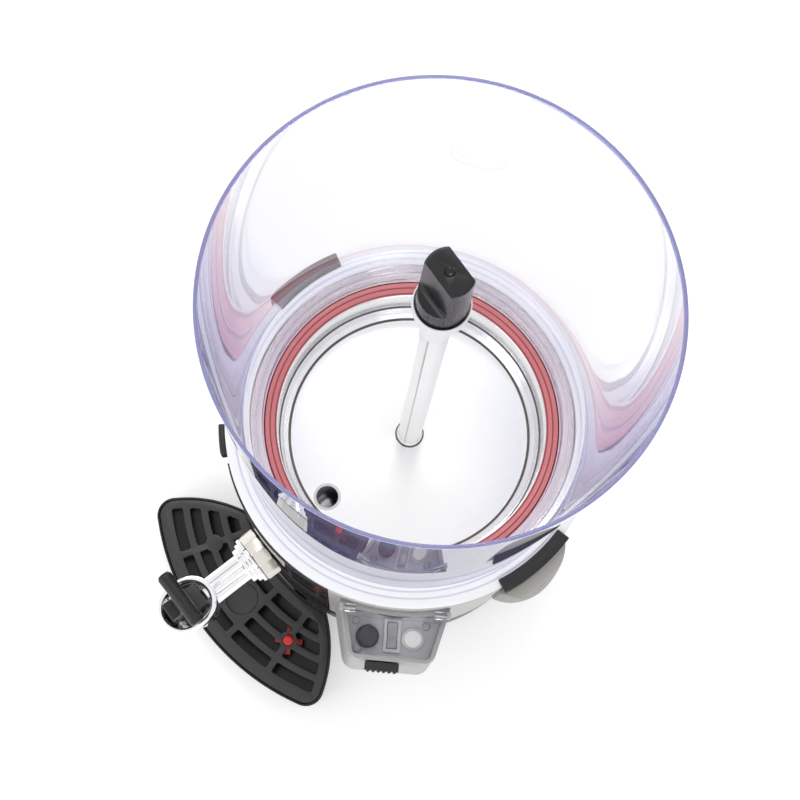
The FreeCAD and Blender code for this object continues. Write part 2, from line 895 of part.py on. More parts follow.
def make_tank_fittings():
    """Thermostat bulb, drain plug and safety thermostat on the floor of the tank."""
    x, y = polar(s.bulb_place, s.box_azimuth)
    stem = cylinder("bulb_stem", s.bulb_radius, 36, 0, 0, s.tank_floor - 10)
    collar = cylinder("bulb_collar", s.bulb_radius + 3, 3, 0, 0, s.tank_floor - 3)
    node(place(fused("thermostat_bulb", stem, collar), x, y), "thermostat_bulb")
    x, y = polar(s.bulb_place, 180)
    head = primitive("Prism", "plug_head", Polygon=6, Circumradius=s.plug_across / 2, Height=5)
    place(head, 0, 0, s.tank_floor - 5)
    shank = cylinder("plug_shank", 4, 6, 0, 0, s.tank_floor)
    node(place(fused("tank_plug", head, shank), x, y), "tank_plug")
    x, y = polar(s.bulb_place, 30)
    disc = cylinder("safety_disc", 8, 5, 0, 0, s.tank_floor - 5)
    neck = cylinder("safety_neck", 6, 4, 0, 0, s.tank_floor - 9)
    node(place(fused("safety_thermostat", disc, neck), x, y), "safety_thermostat")


# Gearmotor

def gear(name, teeth, foot, width, bore, phase):
    """Spur gear with straight-flanked teeth that taper like a rack's."""
    count = int(as_size(teeth).value)
    module = s.gear_module.value
    pitch_radius = module * count / 2
    tip_radius = pitch_radius + module
    root_radius = pitch_radius - 1.25 * module
    slack = s.gear_backlash.value / pitch_radius / 2
    quarter = math.pi / 2 / count
    half_angles = {
        root_radius: 1.55 * quarter - slack,
        pitch_radius: quarter - slack,
        tip_radius: 0.45 * quarter - slack / 2,
    }
    outline = []
    for tooth in range(count):
        middle = 2 * math.pi * tooth / count + math.radians(phase)
        for side, radii in ((-1, (root_radius, pitch_radius, tip_radius)),
                            (1, (tip_radius, pitch_radius, root_radius))):
            for radius in radii:
                angle = middle + side * half_angles[radius]
                outline.append(FreeCAD.Vector(radius * math.cos(angle), radius * math.sin(angle), 0))
    face = Part.Face(Part.makePolygon(outline + outline[:1]))
    solid = face.extrude(FreeCAD.Vector(0, 0, as_size(width).value))
    hole = Part.makeCylinder(as_size(bore).value, 4 * as_size(width).value,
                             FreeCAD.Vector(0, 0, -as_size(width).value))
    item = document.addObject("Part::Feature", name)
    item.Shape = solid.cut(hole)
    item.Placement = FreeCAD.Placement(FreeCAD.Vector(0, 0, as_size(foot).value), FreeCAD.Rotation())
    return item


def gear_distance():
    """Distance between the shafts of the two gears."""
    return s.gear_module * (s.wheel_teeth + s.pinion_teeth) / 2


def make_gears():
    """Large wheel on the drive shaft and pinion on the motor's shaft."""
    wheel = gear("wheel_teeth", s.wheel_teeth, s.gear_floor, s.gear_width, s.shaft_radius + 0.02, 0)
    node(wheel, "output_gear")
    pinion = gear("pinion_teeth", s.pinion_teeth, s.gear_floor - 0.5, s.gear_width + 1,
                  s.motor_shaft_radius + 0.02, 180 / s.pinion_teeth.value)
    pinion.Placement.Base.y = gear_distance().value
    node(pinion, "motor_pinion")


def gearbox_plan(name, grow, foot, height):
    """Pear-shaped prism round both gears."""
    big = s.gear_module * (s.wheel_teeth / 2 + 1) + grow
    small = s.gear_module * (s.pinion_teeth / 2 + 1) + grow
    wheel_side = cylinder(f"{name}_wheel", big, height, 0, 0, foot)
    pinion_side = cylinder(f"{name}_pinion", small, height, 0, gear_distance(), foot)
    bridge = block(f"{name}_bridge", 2 * small, gear_distance(), height, -small,
                   gear_distance() / 2, foot)
    return fused(name, wheel_side, pinion_side, bridge)


def make_gearbox():
    """Zinc gearbox in two halves, bolted on the motor plate."""
    foot = s.motor_plate_height + s.motor_plate_thickness
    split = s.gearbox_top - s.gearbox_wall
    outer = gearbox_plan("housing_outer", s.gearbox_air + s.gearbox_wall, foot, split - foot)
    inner = gearbox_plan("housing_inner", s.gearbox_air, foot + s.gearbox_wall, split)
    shaft_hole = cylinder("housing_hole", s.motor_shaft_radius + 0.2, 20, 0, gear_distance(), foot - 1)
    node(cut("gearbox_housing", outer, inner, shaft_hole), "gearbox_housing")
    lid = gearbox_plan("lid_plan", s.gearbox_air + s.gearbox_wall, split, s.gearbox_wall)
    boss = cylinder("lid_boss", 11, 6, 0, 0, s.gearbox_top - 0.5)
    bearing_hole = cylinder("lid_hole", 7.05, 20, 0, 0, split - 1)
    node(cut("gearbox_cover", fused("lid_solid", lid, boss), bearing_hole), "gearbox_cover")
    node(turned("shaft_bearing", [
        (s.shaft_radius + s.shaft_fit, split),
        (7, split),
        (7, s.gearbox_top + 5.5),
        (9, s.gearbox_top + 5.5),
        (9, s.gearbox_top + 7),
        (s.shaft_radius + s.shaft_fit, s.gearbox_top + 7),
    ]), "shaft_bearing")


def make_motor():
    """Shaded-pole motor hung under its plate, and the pillars that carry the plate."""
    plate_foot = s.motor_plate_height
    plate = cylinder("plate_disc", s.motor_plate_radius, s.motor_plate_thickness, 0, 0, plate_foot)
    shaft_hole = cylinder("plate_hole", s.motor_shaft_radius + 1, 10, 0, gear_distance(), plate_foot - 2)
    node(cut("motor_plate", plate, shaft_hole), "motor_plate")
    floor_top = s.foot_height + s.base_floor
    pillars = []
    for index in range(3):
        x, y = polar(s.pillar_circle, 30 - 120 * index)
        pillars.append(cylinder(f"pillar_{index}", s.pillar_radius, plate_foot - floor_top, x, y, floor_top))
    node(group("plate_pillars", *pillars), "plate_pillars")
    stack_foot = plate_foot - s.rotor_height - 3
    stack = block("stack_block", s.stator_width, s.stator_depth, s.rotor_height, -s.stator_width / 2,
                  gear_distance(), stack_foot)
    bore = cylinder("stack_bore", s.rotor_radius + s.rotor_air, 60, 0, gear_distance(), stack_foot - 10)
    side = s.stator_depth / 2
    window = block("stack_window", 12, 12, 60, -s.stator_width / 2 + 5, gear_distance() - side + 11,
                   stack_foot - 10)
    posts = []
    for index, place_x in enumerate((-1, 1)):
        post = cylinder(f"stack_post_{index}", 2.5, 3, place_x * (s.stator_width / 2 - 5),
                        gear_distance() + side - 5, plate_foot - 3)
        posts.append(post)
    node(cut("motor_stator", fused("stack_solid", stack, *posts), bore, window), "motor_stator")
    coil = block("coil_block", 10, 11, s.rotor_height + 6, -s.stator_width / 2 - 6,
                 gear_distance() - side + 11, stack_foot - 3.5)
    coil_inner = block("coil_slot", 4.8, 30, s.rotor_height + 0.4, -s.stator_width / 2 - 0.2,
                       gear_distance() - side + 11, stack_foot - 0.2)
    node(cut("motor_coil", coil, coil_inner), "motor_coil")
    drum = cylinder("rotor_drum", s.rotor_radius, s.rotor_height, 0, 0, stack_foot)
    shaft = cylinder("rotor_shaft", s.motor_shaft_radius, s.gear_floor + s.gear_width + 2 - stack_foot + 6,
                     0, 0, stack_foot - 6)
    node(place(fused("motor_rotor", drum, shaft), 0, gear_distance(), 0), "motor_rotor")


# Drain and tap, outward along +X

def along(name, radius, start, stop, z, y=0):
    """Round bar along +X from start to stop."""
    return cylinder(name, radius, as_size(stop) - start, start, y, z, 0, 90)


def make_outlet():
    """Drain tube: straight down from the pan, then out through the front panel."""
    outer = s.drain_bore + s.tube_wall
    knee = primitive("Sphere", "outlet_knee", Radius=outer)
    solid = fused(
        "outlet_solid",
        cylinder("outlet_down", outer, s.plate_height - s.tap_height, s.drain_place, 0, s.tap_height),
        place(knee, s.drain_place, 0, s.tap_height),
        along("outlet_out", outer, s.drain_place, s.thread_end, s.tap_height),
        along("outlet_thread", s.thread_radius, s.thread_start, s.thread_end, s.tap_height),
    )
    inner_knee = primitive("Sphere", "outlet_inner_knee", Radius=s.drain_bore)
    elbow = cut(
        "outlet_elbow",
        solid,
        cylinder("outlet_bore_down", s.drain_bore, 30, s.drain_place, 0, s.tap_height),
        place(inner_knee, s.drain_place, 0, s.tap_height),
        along("outlet_bore_out", s.drain_bore, s.drain_place, s.thread_end + 1, s.tap_height),
    )
    node(place(elbow, azimuth=s.tap_azimuth), "outlet_elbow")
    inside = s.body_radius - s.body_wall
    seal = cut(
        "tap_seal",
        fused(
            "seal_solid",
            along("seal_body", s.thread_radius + 1.4, inside - 2, s.nut_start, s.tap_height),
            along("seal_lip", s.thread_radius + 4, inside - 4, inside - 2, s.tap_height),
        ),
        along("seal_hole", outer + 0.05, inside - 6, s.nut_start + 2, s.tap_height),
    )
    node(place(seal, azimuth=s.tap_azimuth), "tap_seal")
    washer_end = s.thread_end + s.washer_thickness
    washer = cut(
        "tap_washer",
        along("washer_disc", s.thread_radius, s.thread_end, washer_end, s.tap_height),
        along("washer_hole", s.tap_pipe_bore, s.thread_end - 1, washer_end + 1, s.tap_height),
    )
    node(place(washer, azimuth=s.tap_azimuth), "tap_washer")


def make_nut():
    """Twelve-sided union nut with turned edges."""
    corner = s.nut_across / 2 / cosine(15)
    stock = primitive("Prism", "nut_stock", Polygon=12, Circumradius=corner, Height=s.nut_length)
    place(stock, s.nut_start, 0, s.tap_height, 0, 90)
    edge = 0.9
    turned_part = fused(
        "nut_turned",
        cone_along("nut_cone_in", corner - edge, corner + edge, s.nut_start, 2 * edge),
        along("nut_bar", corner + edge, s.nut_start + 2 * edge, s.nut_start + s.nut_length - 2 * edge,
              s.tap_height),
        cone_along("nut_cone_out", corner + edge, corner - edge,
                   s.nut_start + s.nut_length - 2 * edge, 2 * edge),
    )
    nut = cut(
        "tap_nut",
        common("nut_solid", stock, turned_part),
        along("nut_hole", s.thread_radius + s.running_gap, s.nut_start - 1,
              s.nut_start + s.nut_length + 1, s.tap_height),
    )
    node(place(nut, azimuth=s.tap_azimuth), "tap_nut")


def cone_along(name, first, second, start, length):
    """Round taper along +X at the height of the tap."""
    item = primitive("Cone", name, Radius1=first, Radius2=second, Height=length)
    return place(item, start, 0, s.tap_height, 0, 90)


def oval(name, radius, foot, top):
    """Upright oval: two round bars side by side and what lies between them."""
    height = as_size(top) - foot
    return fused(
        name,
        cylinder(f"{name}_near", radius, height, s.tap_reach, 0, foot),
        cylinder(f"{name}_far", radius, height, s.tap_reach + s.tap_stretch, 0, foot),
        block(f"{name}_middle", s.tap_stretch, 2 * as_size(radius), height, s.tap_reach, 0, foot),
    )


def make_tap():
    """Chrome tap: stepped flange, pipe with a rib, valve body, oval cup and spout."""
    face = s.nut_start + s.nut_length
    washer_end = s.thread_end + s.washer_thickness
    step = s.flange_step
    neck = primitive("Cone", "tap_neck", Radius1=s.nozzle_radius, Radius2=s.tap_body_radius, Height=4)
    bell = primitive("Cone", "tap_bell", Radius1=s.tap_body_radius, Radius2=s.tap_cup_radius, Height=4)
    solid = fused(
        "tap_solid",
        along("tap_spigot", s.thread_radius, washer_end, face, s.tap_height),
        along("tap_flange_first", s.flange_radius, face, face + step, s.tap_height),
        along("tap_flange_second", s.flange_radius - 1.9, face + step, face + 2 * step, s.tap_height),
        along("tap_flange_third", s.flange_radius - 3.8, face + 2 * step, face + 3.3 * step, s.tap_height),
        along("tap_pipe", s.tap_pipe_radius, face, s.tap_reach, s.tap_height),
        block("tap_rib", s.tap_reach - face - 3 * step, s.rib_width, s.tap_pipe_radius + 1.2,
              face + 3 * step, 0, s.tap_height),
        cylinder("tap_valve", s.tap_body_radius, s.tap_cup_foot - s.tap_body_foot, s.tap_reach, 0,
                 s.tap_body_foot),
        place(neck, s.tap_reach, 0, s.tap_body_foot - 4),
        cylinder("tap_spout", s.nozzle_radius, s.tap_body_foot - 4 - s.nozzle_foot, s.tap_reach, 0,
                 s.nozzle_foot),
        place(bell, s.tap_reach, 0, s.tap_cup_foot - 4),
        oval("tap_cup", s.tap_cup_radius, s.tap_cup_foot, s.tap_cup_top),
    )
    pin = primitive("Cylinder", "tap_pin_hole", Radius=s.pin_radius + 0.02, Height=4 * s.tap_cup_radius)
    pin.Placement = FreeCAD.Placement(FreeCAD.Vector(), FreeCAD.Rotation(FreeCAD.Vector(1, 0, 0), 90))
    pin_hole = place(group("tap_pin_hole_turned", pin), s.pin_reach, 2 * s.tap_cup_radius, s.pin_height)
    tap = cut(
        "tap_body",
        solid,
        oval("tap_cup_inside", s.tap_cup_radius - s.tap_cup_wall, s.tap_cup_foot + 1, s.tap_cup_top + 1),
        cylinder("tap_valve_bore", s.tap_bore, 30, s.tap_reach, 0, s.tap_seat),
        cylinder("tap_spout_bore", s.nozzle_bore, 60, s.tap_reach, 0, s.nozzle_foot - 1),
        along("tap_pipe_hole", s.tap_pipe_bore, washer_end - 1, s.tap_reach, s.tap_height),
        pin_hole,
    )
    node(place(tap, azimuth=s.tap_azimuth), "tap_body")
    rod = primitive("Cylinder", "pin_rod", Radius=s.pin_radius, Height=2 * (s.tap_cup_radius - 2))
    rod.Placement = FreeCAD.Placement(FreeCAD.Vector(), FreeCAD.Rotation(FreeCAD.Vector(1, 0, 0), 90))
    rod_group = place(group("pin_turned", rod), s.pin_reach, s.tap_cup_radius - 2, s.pin_height)
    node(place(group("lever_pin", rod_group), azimuth=s.tap_azimuth), "lever_pin")


def make_piston():
    """Black piston with a slotted square head, and the soft plug on its foot."""
    foot = s.tap_seat + 3
    head_start = s.tap_reach - s.head_length / 2 - 1
    guide = s.tap_bore - s.running_gap
    solid = fused(
        "piston_solid",
        cylinder("piston_stem", 4, s.head_foot - foot, s.tap_reach, 0, foot),
        cylinder("piston_guide", guide, 3.2, s.tap_reach, 0, s.head_foot - 3.2),
        block("piston_head", s.head_length, s.head_side, s.head_top - s.head_foot, head_start, 0,
              s.head_foot),
    )
    slot = block("piston_slot", s.head_length, 2 * s.finger_half + 1, 9, head_start + 3.8, 0,
                 s.pin_height - 4.5)
    flat = block("piston_flat", s.tap_bore, 3 * s.tap_bore, 5, s.tap_reach + 5.9, 0, s.head_foot - 4)
    node(place(cut("tap_piston", solid, slot, flat), azimuth=s.tap_azimuth), "tap_piston")
    seal = cylinder("piston_plug", s.tap_bore - 0.6, 3, s.tap_reach, 0, s.tap_seat)
    node(place(group("piston_seal", seal), azimuth=s.tap_azimuth), "piston_seal")


def make_lever():
    """Black lever: boss on the pin, finger into the piston, stem and T grip."""
    lean = s.grip_reach - s.pin_reach
    rise = s.grip_height - s.pin_height
    half = s.stem_thickness / 2
    finger = s.finger_thickness / 2 - 0.2
    tip = 12
    boss = slab("lever_boss", [
        (s.pin_reach + s.boss_radius, s.pin_height, s.boss_radius + 0.001),
        (s.pin_reach - s.boss_radius, s.pin_height, s.boss_radius + 0.001),
    ], s.boss_half)
    finger_part = slab("lever_finger", [
        (s.pin_reach, s.pin_height - finger),
        (s.pin_reach, s.pin_height + finger),
        (s.pin_reach - tip + 2, s.pin_height + finger),
        (s.pin_reach - tip, s.pin_height + 2.6),
        (s.pin_reach - tip - 2.6, s.pin_height, -2.6),
        (s.pin_reach - tip, s.pin_height - 2.6, -2.6),
        (s.pin_reach - tip + 2, s.pin_height - finger),
    ], s.finger_half)
    stem = slab("lever_stem", [
        (s.pin_reach - half - 0.8, s.pin_height + 3.8),
        (s.pin_reach + half - 0.8, s.pin_height + 3.8),
        (s.grip_reach + half, s.grip_height),
        (s.grip_reach - half, s.grip_height),
    ], s.stem_half)
    tier_place = s.pin_reach + lean * 0.55
    tier = block("lever_tier", 7, 2 * s.stem_half, 6, tier_place, 0, s.pin_height + rise * 0.5)
    bar = primitive("Cylinder", "grip_bar", Radius=s.grip_radius,
                    Height=s.grip_length - 2 * s.grip_radius)
    bar.Placement = FreeCAD.Placement(FreeCAD.Vector(), FreeCAD.Rotation(FreeCAD.Vector(1, 0, 0), 90))
    bar_half = s.grip_length / 2 - s.grip_radius
    grip = [place(group("grip_bar_turned", bar), s.grip_reach, bar_half, s.grip_height)]
    for index, side in enumerate((-1, 1)):
        end = primitive("Sphere", f"grip_end_{index}", Radius=s.grip_radius)
        grip.append(place(end, s.grip_reach, side * bar_half, s.grip_height))
    hole = primitive("Cylinder", "lever_hole", Radius=s.pin_radius + s.pin_fit, Height=60)
    hole.Placement = FreeCAD.Placement(FreeCAD.Vector(0, 30, 0),
                                       FreeCAD.Rotation(FreeCAD.Vector(1, 0, 0), 90))
    hole_group = place(group("lever_hole_turned", hole), s.pin_reach, 0, s.pin_height)
    lever = cut("tap_lever", fused("lever_solid", boss, finger_part, stem, tier, *grip), hole_group)
    node(place(lever, azimuth=s.tap_azimuth), "tap_lever")
    coil_radius = s.pin_radius.value + 1.0
    helix = Part.makeHelix(0.9, 2.25, coil_radius)
    wire = Part.Wire([Part.makeCircle(0.4, FreeCAD.Vector(coil_radius, 0, 0), FreeCAD.Vector(0, 1, 0.05))])
    spring = document.addObject("Part::Feature", "lever_spring")
    spring.Shape = Part.Wire(helix).makePipeShell([wire], True, True)
    spring.Placement = FreeCAD.Placement(
        FreeCAD.Vector(s.boss_half.value + 0.8, -s.pin_reach.value, s.pin_height.value),
        FreeCAD.Rotation(FreeCAD.Vector(0, 1, 0), 90))
    node(spring, "lever_spring")


# Drip tray, outward along +X

def side_point(radius, inset, side):
    """Where a circle about the machine's axis meets the tray's side, moved in by the inset."""
    radius = as_size(radius)
    bend = s.side_radius - inset
    square = s.side_centre_out * s.side_centre_out + s.side_centre_side * s.side_centre_side
    reach = root(square)
    along_line = (radius * radius - bend * bend + square) / (2 * reach)
    aside = root(radius * radius - along_line * along_line)
    out = (along_line * s.side_centre_out - aside * s.side_centre_side) / reach
    across = (along_line * s.side_centre_side + aside * s.side_centre_out) / reach
    return out, side * across


def fan_outline(inner, outer, inset):
    """Fan outline whose sides lie the inset within the tray's sides."""
    bend = s.side_radius - inset
    return [
        (*side_point(inner, inset, -1), -inner),
        (*side_point(outer, inset, -1), bend),
        (*side_point(outer, inset, 1), outer),
        (*side_point(inner, inset, 1), bend),
    ]


def fan(name, inset, foot, height):
    """Fan-shaped prism of the tray's outline, its outer corners rounded."""
    inner = s.tray_inner + inset
    outer = s.tray_outer - inset
    body = padded(name, fan_outline(inner, outer, inset), foot, height)
    document.recompute()
    middle = (inner.value + outer.value) / 2
    corners = upright_edges(body.Shape, lambda edge: edge.Vertexes[0].Point.x > middle * 0.95)
    return rounded(f"{name}_round", body, s.tray_round - inset, corners)


def make_tray():
    """Black drip tray with a thin rim, a ledge for the grid and two hooks."""
    ledge_top = s.tray_top - s.grid_sink - s.grid_thickness
    rim = s.tray_rim
    floor_top = s.tray_foot + s.tray_floor
    hooks = []
    for index, side in enumerate((-1, 1)):
        hooks.append(block(f"tray_hook_{index}", 14, s.hook_width, s.hook_thickness,
                           s.body_radius - 10, side * s.hook_side, s.hook_height))
    hollow = fan("tray_hollow", s.tray_wall + s.tray_ledge, floor_top, s.tray_top - floor_top + 1)
    recess = fan("tray_recess", rim, ledge_top, s.tray_top - ledge_top + 1)
    tray = cut("tray_dished", fan("tray_outside", as_size(0), s.tray_foot, s.tray_top - s.tray_foot),
               hollow, recess)
    spare = cylinder("tray_clear", s.tray_inner + s.tray_rim, 60, 0, 0, -5)
    hooks_cut = common("tray_hooks_near", fused("tray_hooks", *hooks), spare)
    node(place(fused("drip_tray", tray, hooks_cut), azimuth=s.tap_azimuth), "drip_tray")


def slot_ends(radius, angle, side):
    """Point on a radius beside a rib that runs outward at an angle."""
    shift = side * s.slot_rib / 2
    root_angle = as_size(angle)
    return (radius * cosine(root_angle) - shift * sine(root_angle),
            radius * sine(root_angle) + shift * cosine(root_angle))


def grid_slots(row):
    """Outlines of the slots in one row of the grid, counted from the machine."""
    middle = s.row_first + row * s.row_pitch
    inner = middle - s.row_width / 2
    outer = middle + s.row_width / 2
    inset = s.grid_border
    bend = s.side_radius - inset
    slots = []
    for side in (-1, 1):
        edge_slot = [
            (*side_point(inner, inset, side), side * inner),
            (*side_point(outer, inset, side), -side * bend),
            (*slot_ends(outer, side * s.rib_angle, side), -side * outer),
            slot_ends(inner, side * s.rib_angle, side),
        ]
        inner_slot = [
            (*slot_ends(inner, side * s.rib_angle, -side), side * inner),
            slot_ends(outer, side * s.rib_angle, -side),
            (*slot_ends(outer, side * s.middle_angle, side), -side * outer),
            slot_ends(inner, side * s.middle_angle, side),
        ]
        slots += [edge_slot, inner_slot]
    if row in (0, 3):
        slots.append([
            (*slot_ends(inner, -s.middle_angle, 1), -inner),
            slot_ends(outer, -s.middle_angle, 1),
            (*slot_ends(outer, s.middle_angle, -1), outer),
            slot_ends(inner, s.middle_angle, -1),
        ])
    return slots


def make_grid():
    """Dark grid of curved slots with ribs, a round dish and the float's guide."""
    foot = s.tray_top - s.grid_sink - s.grid_thickness
    inset = s.tray_rim + s.grid_gap
    plate = fan("grid_plate", inset, foot, s.grid_thickness)
    tools = []
    for row in range(4):
        for index, outline in enumerate(grid_slots(row)):
            name = f"slot_{row}_{index}"
            hole = padded(name, outline, foot - 1, s.grid_thickness + 2)
            document.recompute()
            tools.append(rounded(f"{name}_round", hole, s.slot_round, upright_edges(hole.Shape)))
    slotted = cut("grid_slotted", plate, *tools)
    discs = []
    for index, side in enumerate((-1, 1)):
        x, y = polar(s.float_place, side * s.rib_angle)
        discs.append(cylinder(f"grid_disc_{index}", s.float_ring, s.grid_thickness, x, y, foot))
    x, y = polar(s.float_place, s.rib_angle)
    hole = cylinder("float_hole", s.float_radius + s.float_fit, 10, x, y, foot - 2)
    top = foot + s.grid_thickness
    dish = cylinder("grid_dish", s.dish_radius, 5, s.dish_place, 0, top - s.dish_depth)
    grid = cut("tray_grid", fused("grid_solid", slotted, *discs), hole, dish)
    node(place(grid, azimuth=s.tap_azimuth), "tray_grid")
    dome = primitive("Cone", "float_dome", Radius1=s.float_radius, Radius2=s.float_radius - 1.2, Height=1.2)
    float_solid = fused(
        "tray_float",
        cylinder("float_bar", s.float_radius, s.grid_thickness + 10.5, 0, 0, foot - 9.5),
        place(dome, 0, 0, top + 1),
        block("float_vane_first", 2 * s.vane_half, s.vane_thickness, 5, -s.vane_half, 0, foot - 9.5),
        block("float_vane_second", s.vane_thickness, 2 * s.vane_half, 5, -s.vane_thickness / 2, 0,
              foot - 9.5),
    )
    centre = polar(s.float_place, s.tap_azimuth + s.rib_angle)
    node(place(float_solid, *centre, 0, s.tap_azimuth + 45), "tray_float")


# Control box, outward along +X

def wedge(name, inset, foot, height, start=90, taper=0):
    """Prism of the box's plan, moved in by an inset, its outer corners rounded."""
    slope = (s.box_half_inner - s.box_half_outer) / (s.box_reach - 101)
    outer = s.box_reach - inset
    start = as_size(start)
    half_start = s.box_half_inner - inset - slope * (start - 101)
    half_outer = s.box_half_outer - inset + slope * inset
    body = padded(name, [(start, -half_start), (outer, -half_outer), (outer, half_outer),
                         (start, half_start)], foot, height, -taper if taper else 0)
    document.recompute()
    corners = []
    for number, edge in enumerate(body.Shape.Edges, start=1):
        ends = [vertex.Point for vertex in edge.Vertexes]
        if abs(ends[0].z - ends[1].z) > 1 and min(ends[0].x, ends[1].x) > start.value + 12:
            corners.append(number)
    return rounded(f"{name}_round", body, s.box_round - inset, corners)


def shifted(depth):
    """How far the tapered wall has moved in at a depth above the box's foot."""
    return depth * sine(s.box_taper) / cosine(s.box_taper)


def make_box():
    """Grey control box with a back wall, hinge lugs and an inner ledge for the plate."""
    height = s.box_top - s.box_foot
    shrink = shifted(height)
    outside = wedge("box_outside", as_size(0), s.box_foot, height, taper=s.box_taper)
    ledge = s.box_plate_height - s.box_foot
    lower = wedge("box_lower", s.box_wall + shrink + 1.5, s.box_foot + s.box_wall, ledge)
    upper = wedge("box_upper", s.box_wall + shrink, s.box_plate_height, s.box_top)
    hollow_start = s.body_radius + 0.05 + s.box_wall
    keep = cylinder("box_back", hollow_start, 300, 0, 0, 0)
    hollow = cut("box_hollow", fused("box_space", lower, upper), keep)
    lugs = []
    for index, side in enumerate((-1, 1)):
        lug_side = side * (s.hinge_pin_start + s.hinge_pin_length + 1.1)
        lugs.append(block(f"box_lug_{index}", 3.6, 2.0, s.hinge_height + 2 - s.box_top + 2,
                          s.hinge_reach - 2.3, lug_side, s.box_top - 2))
    pin_line = across_bar("box_pin_hole", s.hinge_pin_radius + 0.02, 90)
    window = block("box_window", 20, 26, 46, s.body_radius - 6, 0, s.box_foot + 14)
    inside_body = cylinder("box_body_clear", s.body_radius + 0.05, 300, 0, 0, 0)
    box = cut("control_box", fused("box_solid", cut("box_open", outside, hollow), *lugs),
              inside_body, window, pin_line)
    node(place(box, azimuth=s.box_azimuth), "control_box")
    pins = []
    for index, side in enumerate((-1, 1)):
        pin = primitive("Cylinder", f"hinge_pin_{index}", Radius=s.hinge_pin_radius,
                        Height=s.hinge_pin_length + 2)
        pin.Placement = FreeCAD.Placement(FreeCAD.Vector(), FreeCAD.Rotation(FreeCAD.Vector(1, 0, 0), 90))
        start = s.hinge_pin_start + s.hinge_pin_length + 2 if side > 0 else -s.hinge_pin_start
        pins.append(place(group(f"hinge_pin_turned_{index}", pin), s.hinge_reach, start, s.hinge_height))
    node(place(group("hinge_pins", *pins), azimuth=s.box_azimuth), "hinge_pins")


def across_bar(name, radius, length):
    """Round bar on the hinge line of the cover."""
    bar = primitive("Cylinder", name, Radius=radius, Height=length)
    bar.Placement = FreeCAD.Placement(FreeCAD.Vector(0, as_size(length).value / 2, 0),
                                      FreeCAD.Rotation(FreeCAD.Vector(1, 0, 0), 90))
    return place(group(f"{name}_turned", bar), s.hinge_reach, 0, s.hinge_height)


def make_cover():
    """Clear hinged splash cover with a raised rim and two knuckles."""
    shrink = shifted(s.box_top - s.box_foot)
    height = 2 * s.cover_thickness
    foot = s.box_top
    full = wedge("cover_plan", shrink + 0.2, foot, height, s.cover_inner)
    dished = wedge("cover_dish", shrink + 0.2 + s.cover_rim, foot + s.cover_thickness,
                   height, s.cover_inner + s.cover_rim)
    knuckles = []
    for index, side in enumerate((-1, 1)):
        start = s.hinge_pin_start + s.hinge_pin_length / 2
        knuckle = primitive("Cylinder", f"knuckle_{index}", Radius=2.2, Height=s.hinge_pin_length - 0.6)
        knuckle.Placement = FreeCAD.Placement(
            FreeCAD.Vector(0, s.hinge_pin_length.value / 2 - 0.3, 0),
            FreeCAD.Rotation(FreeCAD.Vector(1, 0, 0), 90))
        knuckles.append(place(group(f"knuckle_turned_{index}", knuckle), s.hinge_reach, side * start,
                              s.hinge_height))
        knuckles.append(block(f"knuckle_web_{index}", 4, s.hinge_pin_length - 0.6,
                              s.hinge_height - foot - 2, s.hinge_reach + 0.1, side * start, foot + 2))
    pin_line = across_bar("cover_pin_hole", s.hinge_pin_radius + s.shaft_fit, 90)
    clear_body = cylinder("cover_clear", s.body_radius + 1.2, 300, 0, 0, 0)
    plate = cut("cover_plate", cut("cover_dished", full, dished), clear_body)
    cover = cut("control_cover", fused("cover_solid", plate, *knuckles), pin_line)
    node(place(cover, azimuth=s.box_azimuth), "control_cover")
    face = s.box_reach - shifted(s.latch_top - s.latch_height - s.box_foot) + 0.35
    latch_foot = s.latch_top - s.latch_height
    ribs = []
    for index in range(6):
        ribs.append(cylinder(f"latch_rib_{index}", 0.9, s.latch_height - 3, face + s.latch_thickness,
                             s.latch_side + 3 * (index - 2.5), latch_foot + 1.5))
    barrel = primitive("Cylinder", "latch_barrel", Radius=s.latch_thickness / 2, Height=s.latch_width)
    barrel.Placement = FreeCAD.Placement(FreeCAD.Vector(), FreeCAD.Rotation(FreeCAD.Vector(1, 0, 0), 90))
    barrel_group = place(group("latch_barrel_turned", barrel), face + s.latch_thickness / 2,
                         s.latch_side + s.latch_width / 2, latch_foot)
    latch = fused("cover_latch", block("latch_plate", s.latch_thickness, s.latch_width, s.latch_height,
                                       face, s.latch_side, latch_foot), barrel_group, *ribs)
    node(place(latch, azimuth=s.box_azimuth), "cover_latch")


